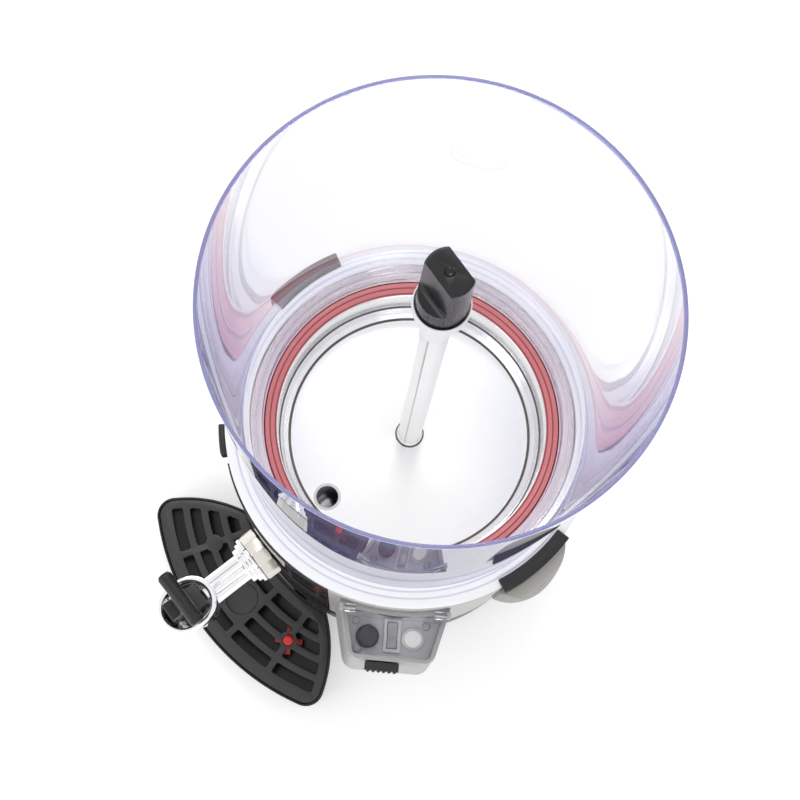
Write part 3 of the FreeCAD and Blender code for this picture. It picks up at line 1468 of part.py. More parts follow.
def make_controls():
    """Plate, knob, rocker switch, lamp, screws and the thermostat under the plate."""
    shrink = shifted(s.box_top - s.box_foot)
    foot = s.box_plate_height
    top = foot + s.box_plate_thickness
    plan = wedge("plate_plan", s.box_wall + shrink + 0.1, foot, s.box_plate_thickness)
    clear_body = cylinder("plate_clear", s.body_radius + s.box_wall + 0.15, 300, 0, 0, 0)
    knob_hole = cylinder("plate_knob_hole", 3.4, 20, s.knob_reach, s.knob_side, foot - 5)
    lamp_hole = cylinder("plate_lamp_hole", 4.05, 20, s.lamp_reach, s.lamp_side, foot - 5)
    switch_hole = block("plate_switch_hole", s.switch_length - 1.9, s.switch_width - 1.9, 20,
                        s.switch_reach - s.switch_length / 2 + 0.95, 0, foot - 5)
    spots = ((113, -21), (129, -19.2), (113, 19))
    screws = []
    holes = []
    for index, (out, side) in enumerate(spots):
        screws.append(cylinder(f"screw_head_{index}", 2.3, 1.6, out, side, top))
        screws.append(cylinder(f"screw_shank_{index}", 1.4, s.box_plate_thickness, out, side, foot))
        holes.append(cylinder(f"screw_hole_{index}", 1.45, 20, out, side, foot - 5))
    plate = cut("control_plate", plan, clear_body, knob_hole, lamp_hole, switch_hole, *holes)
    node(place(plate, azimuth=s.box_azimuth), "control_plate")
    node(place(group("plate_screws", *screws), azimuth=s.box_azimuth), "plate_screws")
    knob_foot = top + s.running_gap
    knob = fused(
        "thermostat_knob",
        cylinder("knob_skirt", s.knob_radius, 2, s.knob_reach, s.knob_side, knob_foot),
        cylinder("knob_body", s.knob_radius - 1, s.knob_height, s.knob_reach, s.knob_side, knob_foot),
        block("knob_pointer", s.knob_radius, 2.4, s.knob_height + 0.8, s.knob_reach - s.knob_radius,
              s.knob_side, knob_foot),
        cylinder("knob_shaft", 3, 14, s.knob_reach, s.knob_side, knob_foot - 14),
    )
    node(place(knob, azimuth=s.box_azimuth), "thermostat_knob")
    body_block = block("thermostat_block", 13, 13, 20, s.knob_reach - 6.5, s.knob_side, foot - 20)
    shaft_hole = cylinder("thermostat_hole", 3.4, 40, s.knob_reach, s.knob_side, foot - 30)
    node(place(cut("thermostat_body", body_block, shaft_hole), azimuth=s.box_azimuth), "thermostat_body")
    start = s.switch_reach - s.switch_length / 2
    frame = fused(
        "bezel_solid",
        block("bezel_rim", s.switch_length, s.switch_width, 2, start, 0, top),
        block("bezel_case", s.switch_length - 2, s.switch_width - 2, 16, start + 1, 0, top - 16),
    )
    opening = block("bezel_opening", s.switch_length - 2 * s.switch_wall - 1,
                    s.switch_width - 2 * s.switch_wall - 1, 12, start + s.switch_wall + 0.5, 0, top - 7)
    node(place(cut("switch_bezel", frame, opening), azimuth=s.box_azimuth), "switch_bezel")
    half = s.switch_length / 2 - s.switch_wall - 0.9
    rocker = slab("rocker_solid", [
        (-half + 0.4, -2.5),
        (0, -5),
        (half - 0.4, -2.5),
        (half, 2.6),
        (0, 1.6),
        (-half, 4.2),
    ], s.switch_width / 2 - s.switch_wall - 0.8)
    axle = primitive("Cylinder", "rocker_axle", Radius=0.8, Height=s.switch_width)
    axle.Placement = FreeCAD.Placement(FreeCAD.Vector(0, s.switch_width.value / 2, -1.5),
                                       FreeCAD.Rotation(FreeCAD.Vector(1, 0, 0), 90))
    drilled = cut("rocker_drilled", rocker, axle)
    rocker_turned = place(group("switch_rocker_placed", drilled), s.switch_reach, 0, top)
    node(place(group("switch_rocker_node", rocker_turned), azimuth=s.box_azimuth), "switch_rocker")
    lamp = fused(
        "indicator_lamp",
        cylinder("lamp_flange", s.lamp_radius, 1.6, s.lamp_reach, s.lamp_side, top),
        cylinder("lamp_lens", s.lamp_radius - 1.2, 4, s.lamp_reach, s.lamp_side, top),
        cylinder("lamp_case", 4, 18, s.lamp_reach, s.lamp_side, top - 18),
    )
    node(place(lamp, azimuth=s.box_azimuth), "indicator_lamp")


# Handles and small pieces

def make_handles():
    """Two silver ears, hollow from below, each with a black strip on top."""
    inner = s.body_radius + 0.05
    swell = s.handle_swell
    top = s.handle_top - 0.5
    lip_foot = s.collar_top + 0.05
    lip_top = lip_foot + s.grip_thickness
    for side, name in ((-1, "left"), (1, "right")):
        turn = s.tap_azimuth + side * s.handle_angle
        sector = turned(f"ear_{name}_profile", [
            (inner, s.handle_foot),
            (s.handle_reach - 5, s.handle_foot),
            (s.handle_reach, s.handle_foot + 10, 12),
            (s.handle_reach - 3.6, s.handle_foot + 27),
            (s.grip_outer + 2, top - 1.5, 40),
            (s.grip_outer + 0.3, top),
            (s.grip_outer + 0.3, top - 4),
            (inner, top - 4),
        ], 2 * s.handle_half_angle)
        prism = cylinder(f"ear_{name}_plan", swell, 100, s.handle_reach - swell, 0, s.handle_foot - 20)
        solid = common(f"ear_{name}_solid", sector, prism)
        inside = cylinder(f"ear_{name}_space", swell - 2.8, 24 + 10, s.handle_reach - swell, 0,
                          s.handle_foot - 10)
        core = cylinder(f"ear_{name}_core", inner + 2.6, 200, 0, 0, s.handle_foot - 50)
        recess = cut(f"ear_{name}_recess", inside, core)
        node(place(cut(f"handle_shell_{name}", solid, recess), azimuth=turn), f"handle_shell_{name}")
        strip = turned(f"strip_{name}_profile", [
            (inner, top - 4),
            (s.grip_outer, top - 4),
            (s.grip_outer, lip_top - 1),
            (s.grip_outer - 1, lip_top, 1),
            (s.grip_lip, lip_top),
            (s.grip_lip, lip_foot),
            (inner, lip_foot),
        ], 2 * s.handle_half_angle)
        node(place(strip, azimuth=turn), f"handle_grip_{name}")


def make_small_pieces():
    """Black clip beside the panel, cord gland and terminal block."""
    inner = s.body_radius + 0.05
    clip = turned("clip_profile", [
        (inner, s.filler_foot),
        (s.filler_reach - 1, s.filler_foot),
        (s.filler_reach, s.filler_foot + 1),
        (s.filler_reach, s.shell_top - 2),
        (s.filler_reach - 1, s.shell_top - 1),
        (inner, s.shell_top - 1),
    ], 2 * s.filler_half_angle)
    node(place(clip, azimuth=s.filler_azimuth), "collar_clip")
    outside = s.body_radius + 0.05
    gland = cut(
        "cord_inlet",
        fused(
            "gland_solid",
            along("gland_neck", s.gland_radius, outside - 14, outside + 5, s.gland_height),
            along("gland_flange", s.gland_collar, outside, outside + 3, s.gland_height),
            along("gland_tail", s.gland_radius - 1.5, outside + 3, outside + 9, s.gland_height),
        ),
        along("gland_hole_through", s.gland_bore, outside - 30, outside + 20, s.gland_height),
    )
    node(place(gland, azimuth=90), "cord_inlet")
    floor_top = s.foot_height + s.base_floor
    terminal = block("terminal_block_solid", 36, 16, 14, -74, -20, floor_top)
    ways = []
    for index in range(3):
        ways.append(cylinder(f"terminal_screw_{index}", 3, 10, -65 + 9 * index, -20, floor_top + 10))
    node(cut("terminal_block", terminal, *ways), "terminal_block")


for make in (make_base, make_feet, make_shell, make_front_panel, make_collar, make_bowl, make_pan,
             make_gasket, make_column, make_cap, make_shaft, make_tank, make_heater,
             make_tank_fittings, make_gears, make_gearbox, make_motor, make_outlet, make_nut, make_tap,
             make_piston, make_lever, make_tray, make_grid, make_box, make_cover, make_controls,
             make_handles, make_small_pieces):
    make()
document.recompute()

faults = [item.Label for item in document.Objects if {"Invalid", "Error"} & set(item.State)]
faults += [item.Label for item in nodes if item.Shape.isNull() or not item.Shape.isValid()]
if faults:
    raise ValueError(f"these objects are not sound: {faults}")
os.makedirs("parts", exist_ok=True)
for item in nodes:
    item.Shape.exportStep(f"parts/{item.Label}.step")
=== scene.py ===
import logging
import math
from dataclasses import dataclass, field
from enum import Enum
from typing import Sequence

import bmesh
import bpy
from mathutils import Matrix, Vector


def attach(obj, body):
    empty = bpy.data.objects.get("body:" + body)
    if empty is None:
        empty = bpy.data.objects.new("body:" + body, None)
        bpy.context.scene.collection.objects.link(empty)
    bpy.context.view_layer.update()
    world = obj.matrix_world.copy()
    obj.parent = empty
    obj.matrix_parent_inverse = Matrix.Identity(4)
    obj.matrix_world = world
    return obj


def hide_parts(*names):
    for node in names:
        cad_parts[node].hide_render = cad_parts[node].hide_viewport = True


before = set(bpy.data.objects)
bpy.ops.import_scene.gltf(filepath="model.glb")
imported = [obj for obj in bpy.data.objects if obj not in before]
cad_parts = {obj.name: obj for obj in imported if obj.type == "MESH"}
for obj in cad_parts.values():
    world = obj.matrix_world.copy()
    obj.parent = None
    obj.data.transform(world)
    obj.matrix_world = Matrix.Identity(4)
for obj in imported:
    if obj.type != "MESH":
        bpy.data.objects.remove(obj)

MM = 0.001
TURN = 2 * math.pi
TAP_DIRECTION = math.radians(-90.0)
BOX_DIRECTION = math.radians(-43.5)
EAR_SIDES = ("left", "right")
STRAIGHT_ANGLE = math.radians(176.0)
MOST_OF_SIDE = 0.48
BEVEL_ROWS = 3
BEVEL_SHADE = math.radians(40.0)
CUT_SHADE = math.radians(35.0)
LINE_STEPS = 224
BRUSH_STRETCH = (0.06, 1.0, 1.0)
RING_SCALE = 2600.0
BUMP_DISTANCE = 0.0004
COAT_ROUGHNESS = 0.08
WORN_FROM, WORN_TO = 0.515, 0.60
TINT_FROM, TINT_TO = 0.72, 0.93

Mesh = bmesh.types.BMesh
Outline = Sequence[tuple]
Triple = tuple[float, float, float]
log = logging.getLogger("dispenser")


class Grain(Enum):
    """How the small surface marks of a finish run."""

    MOULDED = "moulded"
    BRUSHED = "brushed"
    TURNED = "turned"
    CLEAR = "clear"


# Shapes

def soften(outline: Outline, steps: int = 4) -> list[tuple[float, float]]:
    """Round the corners of a closed outline.

    Args:
        outline: Points in millimetres; a third number rounds that corner to a radius.
        steps: Straight pieces in each rounded corner.

    Returns:
        The points of the rounded outline.
    """
    points: list[tuple[float, float]] = []
    count = len(outline)
    for index, point in enumerate(outline):
        radius = point[2] if len(point) > 2 else 0.0
        here = Vector(point[:2])
        back = Vector(outline[index - 1][:2]) - here
        ahead = Vector(outline[(index + 1) % count][:2]) - here
        angle = back.angle(ahead) if back.length and ahead.length else math.pi
        if radius <= 0 or angle > STRAIGHT_ANGLE:
            points.append((here.x, here.y))
            continue
        reach = min(radius / math.tan(angle / 2), MOST_OF_SIDE * back.length, MOST_OF_SIDE * ahead.length)
        start = here + back.normalized() * reach
        stop = here + ahead.normalized() * reach
        for step in range(steps + 1):
            part = step / steps
            spot = start * (1 - part) ** 2 + here * 2 * part * (1 - part) + stop * part ** 2
            points.append((spot.x, spot.y))
    return points


def spin(outline: Outline, steps: int = 160, middle: float = 0.0, sweep: float = TURN) -> Mesh:
    """Turn a closed half profile about the upright axis.

    Args:
        outline: Radius and height of each point in millimetres.
        steps: Pieces of a full turn.
        middle: Direction of the middle of the swept angle.
        sweep: Angle that is swept.

    Returns:
        A closed mesh.
    """
    points = soften(outline)
    whole = sweep > TURN - 0.001
    rows = max(3, round(steps * sweep / TURN))
    mesh = bmesh.new()
    rings = []
    for row in range(rows if whole else rows + 1):
        angle = middle - sweep / 2 + sweep * row / rows
        rings.append([
            mesh.verts.new((r * MM * math.cos(angle), r * MM * math.sin(angle), z * MM))
            for r, z in points
        ])
    for row in range(rows):
        first, second = rings[row], rings[(row + 1) % len(rings)]
        for index in range(len(points)):
            corner = (index + 1) % len(points)
            if points[index][0] < 1e-6 and points[corner][0] < 1e-6:
                continue
            mesh.faces.new((first[index], first[corner], second[corner], second[index]))
    if not whole:
        mesh.faces.new(rings[0])
        mesh.faces.new(rings[-1])
    bmesh.ops.remove_doubles(mesh, verts=mesh.verts, dist=1e-7)
    bmesh.ops.recalc_face_normals(mesh, faces=mesh.faces)
    return mesh


def prism(outline: Outline, foot: float, top: float, edge: float = 0.0) -> Mesh:
    """Raise a plan outline, with soft upper and lower edges.

    Args:
        outline: Plan points in millimetres.
        foot: Height of the underside.
        top: Height of the upper side.
        edge: Size of the softened edges.

    Returns:
        A closed mesh.
    """
    points = soften(outline, 6)
    mesh = bmesh.new()
    lower = [mesh.verts.new((x * MM, y * MM, foot * MM)) for x, y in points]
    upper = [mesh.verts.new((x * MM, y * MM, top * MM)) for x, y in points]
    mesh.faces.new(lower)
    mesh.faces.new(upper)
    for index in range(len(points)):
        corner = (index + 1) % len(points)
        mesh.faces.new((lower[index], lower[corner], upper[corner], upper[index]))
    bmesh.ops.recalc_face_normals(mesh, faces=mesh.faces)
    if edge:
        rims = [item for item in mesh.edges if len({vert.co.z for vert in item.verts}) == 1]
        bmesh.ops.bevel(mesh, geom=rims, offset=edge * MM, segments=BEVEL_ROWS, profile=0.5, affect="EDGES")
    return mesh


def fine_ring(radius: float, half: float, foot: float, top: float, edge: float = 0.1,
              steps: int = LINE_STEPS) -> Mesh:
    """Thin ring about the upright axis.

    Args:
        radius: Radius of its middle in millimetres.
        half: Half its width.
        foot: Height of its underside.
        top: Height of its upper side.
        edge: Radius of its upper edges.
        steps: Pieces of the full turn.

    Returns:
        A closed mesh.
    """
    return spin([(radius - half, foot), (radius + half, foot), (radius + half, top, edge),
                 (radius - half, top, edge)], steps)


def lay(mesh: Mesh, *moves: Matrix) -> Mesh:
    """Move a mesh, the last matrix first."""
    whole = Matrix.Identity(4)
    for move in moves:
        whole = whole @ move
    bmesh.ops.transform(mesh, matrix=whole, verts=mesh.verts)
    return mesh


def shift(x: float = 0.0, y: float = 0.0, z: float = 0.0) -> Matrix:
    """A move in millimetres."""
    return Matrix.Translation((x * MM, y * MM, z * MM))


def swing(angle: float, axis: str = "Z") -> Matrix:
    """A turn about an axis."""
    return Matrix.Rotation(angle, 4, axis)


def side_on() -> Matrix:
    """Stands a plan outline up, so that its second number is a height and it is wide along Y."""
    return Matrix.Rotation(math.pi / 2, 4, "X")


def joined(*meshes: Mesh) -> Mesh:
    """Put several meshes into one."""
    whole = bmesh.new()
    for mesh in meshes:
        data = bpy.data.meshes.new("part")
        mesh.to_mesh(data)
        mesh.free()
        whole.from_mesh(data)
        bpy.data.meshes.remove(data)
    return whole


def cad_copy(node: str) -> Mesh:
    """The welded mesh of a solid, with flat faces made whole."""
    mesh = bmesh.new()
    mesh.from_mesh(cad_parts[node].data)
    bmesh.ops.remove_doubles(mesh, verts=mesh.verts, dist=2e-6)
    bmesh.ops.dissolve_limit(mesh, angle_limit=math.radians(1.0), verts=mesh.verts, edges=mesh.edges)
    return mesh


def make_object(name: str, mesh: Mesh, angle: float = 32.0) -> bpy.types.Object:
    """Turn a mesh into an object that shades smooth up to an angle."""
    data = bpy.data.meshes.new(name)
    mesh.to_mesh(data)
    mesh.free()
    data.shade_smooth()
    data.set_sharp_from_angle(angle=math.radians(angle))
    piece = bpy.data.objects.new(name, data)
    bpy.context.scene.collection.objects.link(piece)
    return piece


def apply_modifiers(piece: bpy.types.Object) -> None:
    """Bake an object's modifiers into its mesh."""
    graph = bpy.context.evaluated_depsgraph_get()
    data = bpy.data.meshes.new_from_object(piece.evaluated_get(graph))
    piece.modifiers.clear()
    old = piece.data
    piece.data = data
    bpy.data.meshes.remove(old)


def bevel_edges(piece: bpy.types.Object, width: float, angle: float) -> None:
    """Soften the sharp edges of an object and leave it with a plain mesh.

    Args:
        piece: The object.
        width: Bevel in millimetres.
        angle: Edges sharper than this, in degrees, are softened.
    """
    bevel = piece.modifiers.new("edges", "BEVEL")
    bevel.width = width * MM
    bevel.segments = BEVEL_ROWS
    bevel.limit_method = "ANGLE"
    bevel.angle_limit = math.radians(angle)
    bevel.harden_normals = False
    apply_modifiers(piece)
    piece.data.shade_smooth()
    piece.data.set_sharp_from_angle(angle=BEVEL_SHADE)


def carve(piece: bpy.types.Object, tool: Mesh) -> None:
    """Cut a closed mesh out of an object."""
    knife = make_object("knife", tool)
    cut = piece.modifiers.new("cut", "BOOLEAN")
    cut.operation = "DIFFERENCE"
    cut.solver = "EXACT"
    cut.object = knife
    apply_modifiers(piece)
    bpy.data.objects.remove(knife)
    piece.data.shade_smooth()
    piece.data.set_sharp_from_angle(angle=CUT_SHADE)


# Finishes

def new_tree(name: str, kind: str, inputs: dict[str, str], outputs: dict[str, str]) -> bpy.types.NodeTree:
    """Node group with its sockets and nothing in it.

    Args:
        name: Name of the group.
        kind: Kind of node tree.
        inputs: Kind of each input by its label.
        outputs: Kind of each output by its label.

    Returns:
        The node tree.
    """
    tree = bpy.data.node_groups.new(name, kind)
    for side, sockets in (("INPUT", inputs), ("OUTPUT", outputs)):
        for label, socket in sockets.items():
            tree.interface.new_socket(label, in_out=side, socket_type=f"NodeSocket{socket}")
    return tree


def put(node: bpy.types.Node, values: dict) -> None:
    """Set inputs of a node by their labels or numbers."""
    for label, value in values.items():
        node.inputs[label].default_value = value


def wire(links: bpy.types.NodeLinks, *lines: tuple) -> None:
    """Link sockets; each line is a node, its output, the next node and its input."""
    for source, outlet, target, inlet in lines:
        links.new(source.outputs[outlet], target.inputs[inlet])


def add(nodes: bpy.types.Nodes, kind: str, values: dict | None = None, **traits: object) -> bpy.types.Node:
    """Add a shader node, with its settings and the values of its inputs."""
    node = nodes.new(f"ShaderNode{kind}")
    for trait, value in traits.items():
        setattr(node, trait, value)
    put(node, values or {})
    return node


def new_material(name: str) -> bpy.types.Material:
    """Material with nodes."""
    material = bpy.data.materials.new(name)
    material.use_nodes = True
    return material


def inside_of(material: bpy.types.Material) -> tuple[bpy.types.Nodes, bpy.types.NodeLinks]:
    """Nodes and links of a material."""
    return material.node_tree.nodes, material.node_tree.links


def surface_group() -> bpy.types.NodeTree:
    """Shared group: slow colour drift, fine grain and worn edges from the place on the piece."""
    name = "SurfaceMarks"
    if name in bpy.data.node_groups:
        return bpy.data.node_groups[name]
    tree = new_tree(name, "ShaderNodeTree",
                    {"Vector": "Vector", "Grain Scale": "Float", "Drift Scale": "Float", "Wear": "Float"},
                    {"Drift": "Float", "Grain": "Float", "Edge": "Float"})
    nodes, links = tree.nodes, tree.links
    entry = nodes.new("NodeGroupInput")
    leave = nodes.new("NodeGroupOutput")
    drift = add(nodes, "TexNoise", {"Detail": 3})
    grain = add(nodes, "TexNoise", {"Detail": 4, "Roughness": 0.6})
    shape = add(nodes, "NewGeometry")
    worn = add(nodes, "MapRange", {"From Min": WORN_FROM, "From Max": WORN_TO})
    scaled = add(nodes, "Math", operation="MULTIPLY")
    broken = add(nodes, "Math", operation="MULTIPLY")
    wire(links, (entry, "Vector", drift, "Vector"), (entry, "Drift Scale", drift, "Scale"),
         (entry, "Vector", grain, "Vector"), (entry, "Grain Scale", grain, "Scale"),
         (shape, "Pointiness", worn, "Value"), (worn, "Result", scaled, 0),
         (entry, "Wear", scaled, 1), (scaled, 0, broken, 0), (grain, "Fac", broken, 1),
         (drift, "Fac", leave, "Drift"), (grain, "Fac", leave, "Grain"), (broken, 0, leave, "Edge"))
    return tree


def turned_group() -> bpy.types.NodeTree:
    """Shared group: fine rings about the upright axis, as a lathe or polishing leaves them."""
    name = "TurnedRings"
    if name in bpy.data.node_groups:
        return bpy.data.node_groups[name]
    tree = new_tree(name, "ShaderNodeTree", {"Vector": "Vector", "Rings": "Float"}, {"Height": "Float"})
    nodes, links = tree.nodes, tree.links
    entry = nodes.new("NodeGroupInput")
    leave = nodes.new("NodeGroupOutput")
    split = add(nodes, "SeparateXYZ")
    flat = add(nodes, "CombineXYZ")
    length = add(nodes, "VectorMath", operation="LENGTH")
    ring = add(nodes, "Math", operation="MULTIPLY")
    noise = add(nodes, "TexNoise", {"Scale": 1.0, "Detail": 3}, noise_dimensions="1D")
    wire(links, (entry, "Vector", split, 0), (split, "X", flat, "X"), (split, "Y", flat, "Y"),
         (flat, 0, length, 0), (length, "Value", ring, 0), (entry, "Rings", ring, 1),
         (ring, 0, noise, "W"), (noise, "Fac", leave, "Height"))
    return tree


@dataclass(frozen=True)
class Finish:
    """One surface finish of the machine and the record's slot that it belongs to."""

    name: str
    slot: str
    colour: Triple
    shade: Triple
    roughness: float
    spread: float = 0.06
    metallic: float = 0.0
    transmission: float = 0.0
    ior: float = 1.5
    coat: float = 0.0
    grain: Grain = Grain.MOULDED
    grain_scale: float = 900.0
    grain_depth: float = 0.04
    drift_scale: float = 18.0
    wear: float = 0.0
    shadow: float = 0.08
    edge: Triple | None = None

    def material(self) -> bpy.types.Material:
        """The finish as a material, built once."""
        if self.name in bpy.data.materials:
            return bpy.data.materials[self.name]
        material = new_material(self.name)
        nodes, links = inside_of(material)
        shader = nodes["Principled BSDF"]
        put(shader, {"Metallic": self.metallic, "Transmission Weight": self.transmission, "IOR": self.ior,
                     "Coat Weight": self.coat, "Coat Roughness": COAT_ROUGHNESS})
        place = add(nodes, "TexCoord")
        marks = add(nodes, "Group", node_tree=surface_group())
        put(marks, {"Grain Scale": self.grain_scale, "Drift Scale": self.drift_scale, "Wear": self.wear})
        stretch = add(nodes, "Mapping")
        if self.grain is Grain.BRUSHED:
            put(stretch, {"Scale": BRUSH_STRETCH})
        wire(links, (place, "Object", stretch, "Vector"), (stretch, "Vector", marks, "Vector"))
        self.colour_from(material, marks)
        self.roughness_from(material, marks)
        if self.grain is not Grain.CLEAR:
            self.relief_from(material, marks, place)
        if self.transmission:
            self.pass_light(material)
        return material

    def pass_light(self, material: bpy.types.Material) -> None:
        """Let lamp light and light from the floor through, as thin clear plastic does."""
        nodes, links = inside_of(material)
        path = add(nodes, "LightPath")
        either = add(nodes, "Math", operation="MAXIMUM")
        opacity = add(nodes, "MapRange", {"To Min": 1.0, "To Max": self.shadow})
        wire(links, (path, "Is Shadow Ray", either, 0), (path, "Is Diffuse Ray", either, 1),
             (either, 0, opacity, "Value"), (opacity, "Result", nodes["Principled BSDF"], "Alpha"))

    def colour_from(self, material: bpy.types.Material, marks: bpy.types.Node) -> None:
        """Let the colour drift towards the shade, and lighten worn edges."""
        nodes, links = inside_of(material)
        mix = add(nodes, "Mix", data_type="RGBA")
        put(mix, {"A": (*self.colour, 1.0), "B": (*self.shade, 1.0)})
        bright = tuple(min(1.0, part * 1.5 + 0.08) for part in self.colour)
        worn = add(nodes, "Mix", data_type="RGBA")
        put(worn, {"B": (*bright, 1.0)})
        wire(links, (marks, "Drift", mix, "Factor"), (mix, "Result", worn, "A"),
             (marks, "Edge", worn, "Factor"),
             (worn, "Result", nodes["Principled BSDF"], "Base Color"))
        if self.edge:
            self.tint_steep_views(material, worn)

    def tint_steep_views(self, material: bpy.types.Material, under: bpy.types.Node) -> None:
        """Deepen the colour where the wall is seen almost edge on.

        Args:
            material: The material that gets the tint.
            under: The mix that gives the colour seen face on.
        """
        nodes, links = inside_of(material)
        weight = add(nodes, "LayerWeight", {"Blend": 0.5})
        ramp = add(nodes, "MapRange", {"From Min": TINT_FROM, "From Max": TINT_TO})
        tint = add(nodes, "Mix", data_type="RGBA")
        put(tint, {"B": (*self.edge, 1.0)})
        wire(links, (weight, "Facing", ramp, "Value"), (ramp, "Result", tint, "Factor"),
             (under, "Result", tint, "A"), (tint, "Result", nodes["Principled BSDF"], "Base Color"))

    def roughness_from(self, material: bpy.types.Material, marks: bpy.types.Node) -> None:
        """Vary the roughness about its middle value."""
        nodes, links = inside_of(material)
        spread = add(nodes, "MapRange")
        put(spread, {"To Min": max(0.0, self.roughness - self.spread),
                     "To Max": min(1.0, self.roughness + self.spread)})
        wire(links, (marks, "Grain", spread, "Value"),
             (spread, "Result", nodes["Principled BSDF"], "Roughness"))

    def relief_from(self, material: bpy.types.Material, marks: bpy.types.Node, place: bpy.types.Node) -> None:
        """Press the grain, or the rings of a turned piece, into the surface."""
        nodes, links = inside_of(material)
        bump = add(nodes, "Bump", {"Strength": self.grain_depth, "Distance": BUMP_DISTANCE})
        height = marks.outputs["Grain"]
        if self.grain is Grain.TURNED:
            rings = add(nodes, "Group", node_tree=turned_group())
            put(rings, {"Rings": RING_SCALE})
            links.new(place.outputs["Object"], rings.inputs["Vector"])
            height = rings.outputs["Height"]
        links.new(height, bump.inputs["Height"])
        links.new(bump.outputs["Normal"], nodes["Principled BSDF"].inputs["Normal"])


CLEAR_BOWL = Finish("ClearBowl", "bowl_clear", (0.93, 0.93, 0.98), (0.91, 0.91, 0.975), 0.012, 0.008,
                    transmission=0.94, ior=1.46, grain=Grain.CLEAR, edge=(0.18, 0.18, 0.70))
RIM_VIOLET = Finish("RimViolet", "bowl_clear", (0.56, 0.56, 0.90), (0.52, 0.52, 0.87), 0.10, 0.05,
                    transmission=0.75, ior=1.46, grain=Grain.CLEAR, shadow=0.4)
CLEAR_COVER = Finish("ClearCover", "cover_clear", (0.975, 0.975, 0.985), (0.96, 0.96, 0.975), 0.04, 0.02,
                     transmission=1.0, ior=1.32, grain_scale=60, grain_depth=0.2)
PAN_STEEL = Finish("PanSteel", "steel", (0.95, 0.95, 0.955), (0.90, 0.90, 0.91), 0.22, 0.05, metallic=1.0,
                   grain=Grain.TURNED, grain_depth=0.08)
# Painted shade: brownish near-black for thin rings of shade at the column's foot, in the pan's cove and at
# its wall.
PAN_SHADE_LINE = Finish("PanShadeLine", "steel", (0.17, 0.145, 0.125), (0.11, 0.095, 0.085), 0.35, 0.05, metallic=0.6,
                  grain=Grain.TURNED, grain_depth=0.04)
PIN_STEEL = Finish("PinSteel", "tank_steel", (0.40, 0.40, 0.42), (0.34, 0.34, 0.36), 0.45, 0.06,
                   metallic=0.5, grain_depth=0.05)
TANK_STEEL = Finish("TankSteel", "tank_steel", (0.62, 0.62, 0.63), (0.52, 0.52, 0.53), 0.32, metallic=1.0,
                    grain=Grain.BRUSHED, grain_depth=0.08)
CHROME = Finish("TapChrome", "chrome", (0.90, 0.90, 0.91), (0.86, 0.86, 0.87), 0.05, 0.02, metallic=1.0,
                grain_scale=300, grain_depth=0.015)
NICKEL = Finish("NutNickel", "nickel", (0.80, 0.77, 0.72), (0.70, 0.67, 0.62), 0.16, 0.05, metallic=1.0,
                grain=Grain.BRUSHED, grain_depth=0.06)
SILVER = Finish("BodySilver", "shell_silver", (0.47, 0.46, 0.45), (0.41, 0.40, 0.39), 0.38, 0.05,
                metallic=0.25, coat=0.15, grain_scale=2600, grain_depth=0.05, wear=0.3)
EAR_SILVER = Finish("EarSilver", "shell_silver", (0.30, 0.29, 0.27), (0.25, 0.24, 0.225), 0.42, 0.05,
                    ior=1.42, grain_scale=2600, grain_depth=0.05, wear=0.3)
WHITE = Finish("CollarWhite", "white", (0.86, 0.865, 0.89), (0.82, 0.825, 0.855), 0.22, 0.05, coat=0.3,
               grain_scale=1200, grain_depth=0.015)
GROOVE_VIOLET = Finish("GrooveViolet", "white", (0.64, 0.64, 0.80), (0.56, 0.56, 0.74), 0.30, 0.05,
                       grain_scale=1200, grain_depth=0.015)
COLUMN_WHITE = Finish("ColumnWhite", "white", (0.86, 0.86, 0.88), (0.80, 0.80, 0.83), 0.30, 0.06,
                      grain_scale=1500, grain_depth=0.03)
# Painted reflection: brownish grey for the dark streak that the glossy tube mirrors, drawn as a thin strip
# along it.
COLUMN_STREAK = Finish("ColumnStreak", "white", (0.36, 0.33, 0.29), (0.46, 0.43, 0.39), 0.3, grain_depth=0.02)
COLUMN_TUBE = Finish("ColumnTube", "white", (0.93, 0.93, 0.93), (0.88, 0.88, 0.88), 0.20, 0.06, coat=0.4,
                     grain_scale=1500, grain_depth=0.03)
PANEL_BLACK = Finish("PanelBlack", "black_gloss", (0.008, 0.008, 0.010), (0.014, 0.014, 0.016), 0.10, 0.04,
                     ior=1.45, coat=0.2, grain_scale=400, grain_depth=0.02)
BLACK = Finish("SatinBlack", "black", (0.012, 0.012, 0.013), (0.022, 0.021, 0.022), 0.34, 0.07, ior=1.38,
               grain_scale=2200, grain_depth=0.10, wear=0.5)
CAP_BLACK = Finish("CapBlack", "black", (0.007, 0.007, 0.008), (0.014, 0.014, 0.015), 0.20, 0.05, ior=1.40,
                   grain_scale=2200, grain_depth=0.05, wear=0.5)
GRID_GREY = Finish("GridGrey", "grey_dark", (0.034, 0.034, 0.036), (0.048, 0.048, 0.051), 0.30, 0.06,
                   ior=1.42, grain_scale=2400, grain_depth=0.12, wear=0.5)
# Painted shade: near-black for the thin ring of shade along the edge of the grid's dish.
GRID_SHADE_LINE = Finish("GridShadeLine", "grey_dark", (0.004, 0.004, 0.005), (0.008, 0.008, 0.009), 0.25, 0.05,
                   ior=1.40, grain_scale=2400, grain_depth=0.05)
BOX_GREY = Finish("BoxGrey", "grey", (0.42, 0.42, 0.42), (0.35, 0.35, 0.36), 0.40, 0.06,
                  grain_scale=2200, grain_depth=0.10, wear=0.3)
PLATE_GREY = Finish("PlateGrey", "grey", (0.66, 0.66, 0.69), (0.56, 0.56, 0.60), 0.36, 0.05,
                    grain_scale=1800, grain_depth=0.05)
RED_SEAL = Finish("RedSeal", "red_rubber", (0.60, 0.20, 0.215), (0.50, 0.14, 0.155), 0.40, 0.08,
                  grain_scale=1500, grain_depth=0.05)
